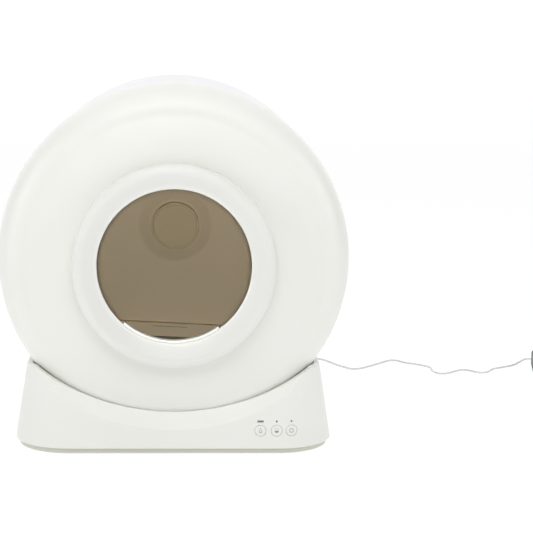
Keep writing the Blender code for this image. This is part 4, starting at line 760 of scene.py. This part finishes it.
piece("hub_cover", hub_cap(), cap_taupe, "drum", ["hub_cap"])


def below_chord(drop, radius, steps=64):
    """The part of a disc's outline that lies under a level line."""
    half = math.acos(drop / radius)
    return arc((0, 0), radius, -math.pi / 2 - half, -math.pi / 2 + half, steps)


def ledge():
    """The taupe ledge at the chamber's back, its upper edge rounded over."""
    outline = below_chord(LEDGE_CHORD, LINER_INSIDE - 0.008)
    front = BACK_WALL - FIT - LEDGE_DEPTH
    return moved(plate([outline], front, front + LEDGE_DEPTH, edge=LEDGE_EDGE, segments=12), DRUM)


piece("rear_ledge", ledge(), liner_taupe, "drum", ["back_ledge"])


def fill_mark():
    """The thin brown line on the ledge."""
    front = BACK_WALL - FIT - LEDGE_DEPTH
    low = (-MARK_HALF_LENGTH, front - 0.0003, MARK_BOTTOM)
    return moved(block(low, (MARK_HALF_LENGTH, front + 0.0005, MARK_TOP), 0.0002), DRUM)


piece("fill_line", fill_mark(), mark_brown, "drum", ())


def mat():
    """The soft floor under the litter, with a flange that stands up against the ledge."""
    outer = LINER_INSIDE - 0.0006
    back = BACK_WALL - 2 * FIT - LEDGE_DEPTH
    start, end = -math.pi / 2 - MAT_HALF_ANGLE, -math.pi / 2 + MAT_HALF_ANGLE
    outline = arc((0, 0), outer, start, end, 96) + arc((0, 0), outer - MAT_THICKNESS, end, start, 96)
    strip = plate([outline], MAT_FRONT, back, edge=0.001)
    flange = plate([below_chord(MAT_FLANGE_CHORD, outer - 0.003)], back - MAT_THICKNESS, back, edge=0.001)
    return moved(joined(strip, flange), DRUM)


piece("litter_floor", mat(), mat_rubber, "drum", ["litter_mat"])


# Waste bin, its door and latch

def tub():
    """An open drawer with rounded inner corners, its left side cut low where the waste drops in."""
    near, far, wall = BIN_FRONT, BACK - DOOR_DEPTH - FIT, BIN_WALL
    middle, rim = (near + far) / 2, math.sqrt(BIN_CROWN ** 2 - BIN_HALF ** 2)
    shell = plate([bin_outline()], near, far, edge=0.0010, segments=3)
    hollow = block((wall - BIN_HALF, near + wall, SHELF_RISE + FIT + wall),
                   (BIN_HALF - wall, far - wall, BIN_CROWN + 0.018), 0.0060, 4)
    half_inlet = (far - near) * BIN_INLET_SHARE / 2
    inlet = block((-BIN_HALF - 0.005, middle - half_inlet, rim - BIN_INLET_DROP),
                  (0.005 - BIN_HALF, middle + half_inlet, rim + BIN_INLET_DROP))
    return moved(carved(shell, [hollow, inlet]), DRUM)


def grip_outline():
    """The finger slot: a long hole with round ends."""
    rise = SHELF_RISE + (BIN_CROWN - SHELF_RISE) * GRIP_RISE_SHARE
    right = arc((GRIP_HALF_LENGTH, rise), GRIP_RADIUS, -math.pi / 2, math.pi / 2, 16)
    return right + arc((-GRIP_HALF_LENGTH, rise), GRIP_RADIUS, math.pi / 2, 3 * math.pi / 2, 16)


def rectangle(low, high):
    return [(low[0], low[1]), (high[0], low[1]), (high[0], high[1]), (low[0], high[1])]


def bin_door():
    """A hollow door with eased edges, a finger slot, and windows for the latch and its tongue."""
    holes = [grip_outline(), rectangle(*LATCH_WINDOW)]
    shell = plate([bin_outline(0.001)] + holes, BACK - DOOR_DEPTH, BACK, edge=0.0009, segments=3)
    hollow = plate([bin_outline(-0.0015)], BACK - DOOR_DEPTH - 0.005, BACK - WALL)
    (left, near, _), (right, far, _) = TONGUE
    tongue_slot = block((left - TONGUE_GAP, near - TONGUE_GAP, SHELF_RISE - 0.0075),
                        (right + TONGUE_GAP, far + TONGUE_GAP, SHELF_RISE + 0.0075))
    return moved(carved(shell, [hollow, tongue_slot]), DRUM)


def latch():
    """A ribbed thumb pad with its tongue."""
    half = LATCH_HALF_WIDTH
    pad = block((-half, LATCH_NEAR, LATCH_BOTTOM), (half, BACK - 0.0010, LATCH_TOP), 0.0012, 3)
    tongue = block(*TONGUE, 0.0005)
    ribs, half_rib = [], half - 0.0035
    for i in range(LATCH_RIBS):
        low = LATCH_BOTTOM + 0.0022 + LATCH_RIB_PITCH * i
        ribs.append(block((-half_rib, BACK - 0.0016, low), (half_rib, BACK, low + LATCH_RIB_HEIGHT), 0.0004))
    return moved(joined(pad, tongue, *ribs), DRUM)


piece("bin_tub", tub(), bin_grey, "bin", ["waste_bin"], sharp=28)
piece("bin_front_door", bin_door(), cool_white, "bin", ["bin_door"], sharp=25)
piece("latch_pad", latch(), dark_plastic, "latch", ["bin_latch"])


# Cradle base

def base_section(z, inset=0.0):
    """The base's plan at a height: half width, half depth and corner radius."""
    rise = max(z - BASE_BOTTOM, 0)
    corner = CORNER_AT_BOTTOM + (CORNER_AT_TOP - CORNER_AT_BOTTOM) * rise / (BASE_TOP - BASE_BOTTOM)
    half_width, half_depth = BASE_HALF_WIDTH - rise * SIDE_DRAFT, BASE_HALF_DEPTH - rise * FRONT_DRAFT
    return half_width - inset, half_depth - inset, corner - inset


def slab(levels, corner_steps=20):
    """A solid between rounded rectangles, each a height and an inset from the base's sides."""
    bm = bmesh.new()
    rings = []
    for z, inset in levels:
        half_x, half_y, corner = base_section(z, inset)
        verts = []
        for quarter, (sx, sy) in enumerate(((1, 1), (-1, 1), (-1, -1), (1, -1))):
            centre = (sx * (half_x - corner), sy * (half_y - corner))
            start = quarter * math.pi / 2
            bend = arc(centre, corner, start, start + math.pi / 2, corner_steps)
            verts += [bm.verts.new((x, y, z)) for x, y in bend]
        rings.append([bm.edges.new(pair) for pair in zip(verts, verts[1:] + verts[:1])])
    for lower, upper in zip(rings, rings[1:]):
        bmesh.ops.bridge_loops(bm, edges=lower + upper)
    bmesh.ops.edgeloop_fill(bm, edges=rings[0])
    bmesh.ops.edgeloop_fill(bm, edges=rings[-1])
    return tidy(bm)


def trough(grow, steps):
    """The drum's bed, which follows its front rounding, and the coned mouth over the front lip.

    Both are grown by a wall's thickness for the cavity under them.
    """
    front = LIP_BACK - grow * BED_FRONT_SHARE
    radius, edge = TROUGH_RADIUS + grow, DRUM_RADIUS - ROUNDING_WIDTH
    squash = (RIM_START - front) / (radius - edge)
    section = [(0, front)] + arc((edge, RIM_START), radius - edge, -math.pi / 2, 0, 20, squash)
    section += [(radius, BED_BACK), (0, BED_BACK)]
    bed = moved(turned(section, steps), Matrix.Translation((0, 0, AXIS)))
    shift = grow * math.hypot(1, BEVEL_SLOPE)
    rim, end = LIP_RADIUS + grow, LIP_CREST - MOUTH_REACH
    lip = LIP_CREST + (shift - grow) / BEVEL_SLOPE
    section = [(0, RIM_START), (rim, RIM_START), (rim, lip, 0.0007),
               (LIP_RADIUS + shift + MOUTH_REACH * BEVEL_SLOPE, end), (0, end)]
    mouth = moved(turned(rounded(section), steps), Matrix.Translation((0, 0, LIP_CENTRE)))
    return [bed, mouth]


def around(angle, distance):
    """The place (x, z) at an angle and a distance from the drum's axis."""
    return math.sin(angle) * distance, AXIS - math.cos(angle) * distance


def bed_window(angle, half_width, front, back):
    """A window through the bed's wall, at an angle round the drum from straight down."""
    x, z = around(angle, TROUGH_RADIUS + WALL / 2)
    window = block((-half_width, front, -WINDOW_HALF_DEPTH), (half_width, back, WINDOW_HALF_DEPTH))
    return moved(window, Matrix.Translation((x, 0, z)) @ Matrix.Rotation(-angle, 4, "Y"))


def wall_depth(z, x):
    """How far the front wall stands out at a height and a distance from the middle."""
    half_x, half_y, corner = base_section(z)
    past = max(abs(x) - (half_x - corner), 0)
    return half_y - corner + math.sqrt(corner ** 2 - past ** 2)


def drilled(place, radius, reach, steps):
    """The solid that cuts a round hole through a wall from front to back."""
    x, y, z = place
    return moved(rod(radius, y - reach, y + reach, steps), Matrix.Translation((x, 0, z)))


def cradle():
    """The base's housing: a drafted shell, the drum's bed, and the coned bevel over its front lip."""
    levels = [(BASE_BOTTOM, 0.0008), (BASE_BOTTOM + 0.0003, 0.0003), (BASE_BOTTOM + 0.0010, 0), (0.05, 0),
              (0.09, 0), (BASE_TOP - 0.0025, 0), (BASE_TOP - 0.0007, 0.0007), (BASE_TOP, 0.0025)]
    body = slab(levels, 28)
    cavity = slab([(0.0, WALL), (BASE_BOTTOM, WALL), (BASE_TOP - WALL, WALL)])
    cavity = carved(cavity, trough(WALL, 160))
    tools = [cavity] + trough(0.0, 288)
    reach = ROLLER_HALF_WIDTH + 3 * FIT + WALL + 0.002
    for angle, y in ROLLERS:
        tools.append(bed_window(math.radians(angle), ROLLER_WINDOW_HALF, y - reach, y + reach))
    tools.append(bed_window(*GEAR_WINDOW))
    for x, radius in BUTTONS:
        place = (x, -wall_depth(BUTTON_RISE, x), BUTTON_RISE)
        tools.append(drilled(place, radius + BUTTON_GAP, HOLE_REACH, 64))
    x = BUTTONS[0][0]
    y = -wall_depth(LAMP_RISE, x)
    tools.append(block((x - LAMP_BAR_HALF, y - LAMP_HOLE_REACH, LAMP_RISE - LAMP_RADIUS),
                       (x + LAMP_BAR_HALF, y + LAMP_HOLE_REACH, LAMP_RISE + LAMP_RADIUS)))
    for x, _ in BUTTONS[1:]:
        place = (x, -wall_depth(LAMP_RISE, x), LAMP_RISE)
        tools.append(drilled(place, LAMP_RADIUS, LAMP_HOLE_REACH, 24))
    tools.append(drilled(SOCKET, SOCKET_HOLE, HOLE_REACH, 32))
    return carved(body, tools)


piece("cradle_housing", cradle(), warm_white, "base", ["base_housing"], sharp=14)


def plinth():
    """The base's floor: a recessed plinth with its rim inside the housing's wall."""
    recess, inside = 0.006, WALL + FIT
    body = slab([(PLINTH_BOTTOM, recess + 0.0015), (PLINTH_BOTTOM + 0.0006, recess + 0.0004),
                 (0.0040, recess), (BASE_BOTTOM - FIT, recess), (BASE_BOTTOM, inside), (0.0147, inside)], 28)
    tools = [slab([(PLINTH_BOTTOM + WALL, recess + WALL), (0.0247, recess + WALL)])]
    for sx, sy in ((-1, -1), (1, -1), (-1, 1), (1, 1)):
        hole = moved(rod(FOOT_HOLE, -0.0013, 0.0013, 48), Matrix.Rotation(math.pi / 2, 4, "X"))
        tools.append(moved(hole, Matrix.Translation((sx * FEET[0], sy * FEET[1], PLINTH_BOTTOM))))
    return carved(body, tools)


piece("plinth_tray", plinth(), plinth_painted_shade, "base", ["base_tray"], sharp=24)


# Control panel

def on_front(bm, x, z):
    """Lays a shape drawn flat about the origin on the front wall, so that it follows its curve."""
    for vert in bm.verts:
        across, out, up = vert.co
        vert.co = (x + across, -wall_depth(z + up, x + across) + out, z + up)
    return bm


def button(x, radius):
    """A round push button, slightly dished, whose face follows the front wall."""
    back = 0.0040
    section = [(0, -0.0002), (radius * 0.55, -0.00025, 0.001), (radius, -0.0004, 0.0009), (radius, back),
               (0, back)]
    fine = []
    corners = rounded(section, steps=5)
    for a, b in zip(corners, corners[1:] + corners[:1]):
        steps = max(1, round(math.dist(a, b) / 0.0015))
        fine += [tuple(Vector(a).lerp(Vector(b), i / steps)) for i in range(steps)]
    return on_front(turned(fine, 64), x, BUTTON_RISE)


def printed(outlines, x):
    """A symbol that stands a hair out of its button's face."""
    return on_front(plate(outlines, -0.00042, -0.0001), x, BUTTON_RISE)


def drop_icon():
    """A drop's outline, drawn thicker at its foot."""
    outer = arc((0, -0.0012), 0.0028, math.radians(-205), math.radians(25), 20) + [(0.0, 0.0045)]
    inner = arc((0, -0.0004), 0.0014, math.radians(-205), math.radians(25), 16) + [(0.0, 0.0026)]
    return [outer, inner]


def bowl_icon():
    """A half disc."""
    return [arc((0, -0.0002), 0.0029, math.pi, 2 * math.pi, 20)]


def heap_icon():
    """The thin curved line over the bowl."""
    return [arc((0, 0.0005), 0.0029, 0, math.pi, 20) + arc((0, 0.0005), 0.0024, math.pi, 0, 20)]


def drum_icon():
    """A rounded square with a round opening."""
    half, corner = 0.0034, 0.0020
    rim = [(-half, -half, corner), (half, -half, corner), (half, half, corner), (-half, half, corner)]
    return [rounded(rim, steps=5), circle(0.0021, 24)]


for name, (x, radius) in zip(("left", "middle", "right"), BUTTONS):
    own = f"button_{name}"
    piece(f"push_{own}", button(x, radius), warm_white, own, [own])
for name, at, icon, ink in (("left_drop", 0, drop_icon, ink_pale), ("middle_bowl", 1, bowl_icon, ink_grey),
                            ("middle_heap", 1, heap_icon, ink_pale), ("right_drum", 2, drum_icon, ink_pale)):
    own = "button_" + name.split("_")[0]
    piece(f"symbol_{name}", printed(icon(), BUTTONS[at][0]), ink, own, ())


# Materials of the CAD nodes that stay

KEPT = {
    steel: ["hub_bolt", "drive_motor", "motor_bracket", "pinion_shaft", "adapter_blade_left",
            "adapter_blade_right"],
    black_rubber: ["foot_front_left", "foot_front_right", "foot_rear_left", "foot_rear_right"],
    liner_taupe: ["bin_shelf"],
    bin_grey: ["sieve_grid"],
    gear_grey: ["ring_gear", "drive_pinion"],
    dark_plastic: ["gearbox", "dc_socket", "cord_tie", "power_adapter"],
    lamp_smoke: ["lamp_left", "lamp_middle", "lamp_right"],
    board_green: ["control_board"],
}
for roller in ("front_left_roller", "front_right_roller", "rear_left_roller", "rear_right_roller"):
    KEPT[steel].append(roller + "_axle")
    KEPT[black_rubber].append(roller + "_tyre")
    KEPT[gear_grey].append(roller + "_hub")
    KEPT[dark_plastic].append(roller + "_fork")
for skin, names in KEPT.items():
    for name in names:
        for material_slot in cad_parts[name].material_slots:
            material_slot.material = skin.made


# Stage and light

def lit_sheet(name, size, place, glow, albedo=0.25, roughness=0.9):
    """A plain pale sheet of the studio that gives off light itself."""
    bm = bmesh.new()
    bmesh.ops.create_grid(bm, x_segments=1, y_segments=1, size=size)
    moved(bm, place)
    mesh = bpy.data.meshes.new(name)
    bm.to_mesh(mesh)
    bm.free()
    paint = Finish(name, (albedo,) * 3, roughness)
    paint.constant(Specular_IOR_Level=0.0, Emission_Color=(1, 1, 1, 1), Emission_Strength=glow)
    mesh.materials.append(paint.made)
    linked(name, mesh)


def white_world(strength):
    world = bpy.data.worlds.new("studio")
    bpy.context.scene.world = world
    world.use_nodes = True
    backing = world.node_tree.nodes["Background"]
    backing.inputs["Color"].default_value = (1.0, 1.0, 1.0, 1)
    backing.inputs["Strength"].default_value = strength


def aimed(data, at, towards, power):
    """A lamp of the studio, set up and turned to a place."""
    data.energy = power
    lamp = linked(data.name, data)
    lamp.location = at
    lamp.rotation_euler = (Vector(towards) - Vector(at)).to_track_quat("-Z", "Y").to_euler()


def softbox(name, at, towards, size, power):
    data = bpy.data.lights.new(name, "AREA")
    data.shape = "RECTANGLE"
    data.size, data.size_y = size
    aimed(data, at, towards, power)


def entrance_lamp():
    """A small lamp at the camera's place that lights the chamber through the opening alone."""
    power = 131.0
    data = bpy.data.lights.new("entrance_lamp", "SPOT")
    towards = Vector((0, FRONT + FUNNEL_DEPTH, AXIS + 0.0015))
    data.spot_size = 2 * math.atan(OPENING / (towards - CAMERA_AT).length)
    data.spot_blend = 0.03
    data.shadow_soft_size = 0.008
    aimed(data, CAMERA_AT, towards, power)


lit_sheet("studio_floor", 40.0, Matrix(), 0.86)
white_world(0.10)
softbox("overhead", (0.0, -0.4, 2.8), (0, 0, 0.2), (3.0, 2.4), 25.0)
softbox("overhead_front", (0.0, -2.2, 2.3), (0, 0, 0.3), (2.4, 1.6), 33.0)
softbox("left", (-2.6, -1.2, 1.2), (0, 0, 0.3), (1.6, 1.6), 21.0)
softbox("right", (2.6, -1.2, 1.2), (0, 0, 0.3), (1.6, 1.6), 17.0)
entrance_lamp()
upright = Matrix.Rotation(math.pi / 2, 4, "X")
lit_sheet("studio_backdrop", 12.0, Matrix.Translation((0, 9.0, 6.0)) @ upright, 1.04)
bpy.context.scene.view_settings.view_transform = "Standard"
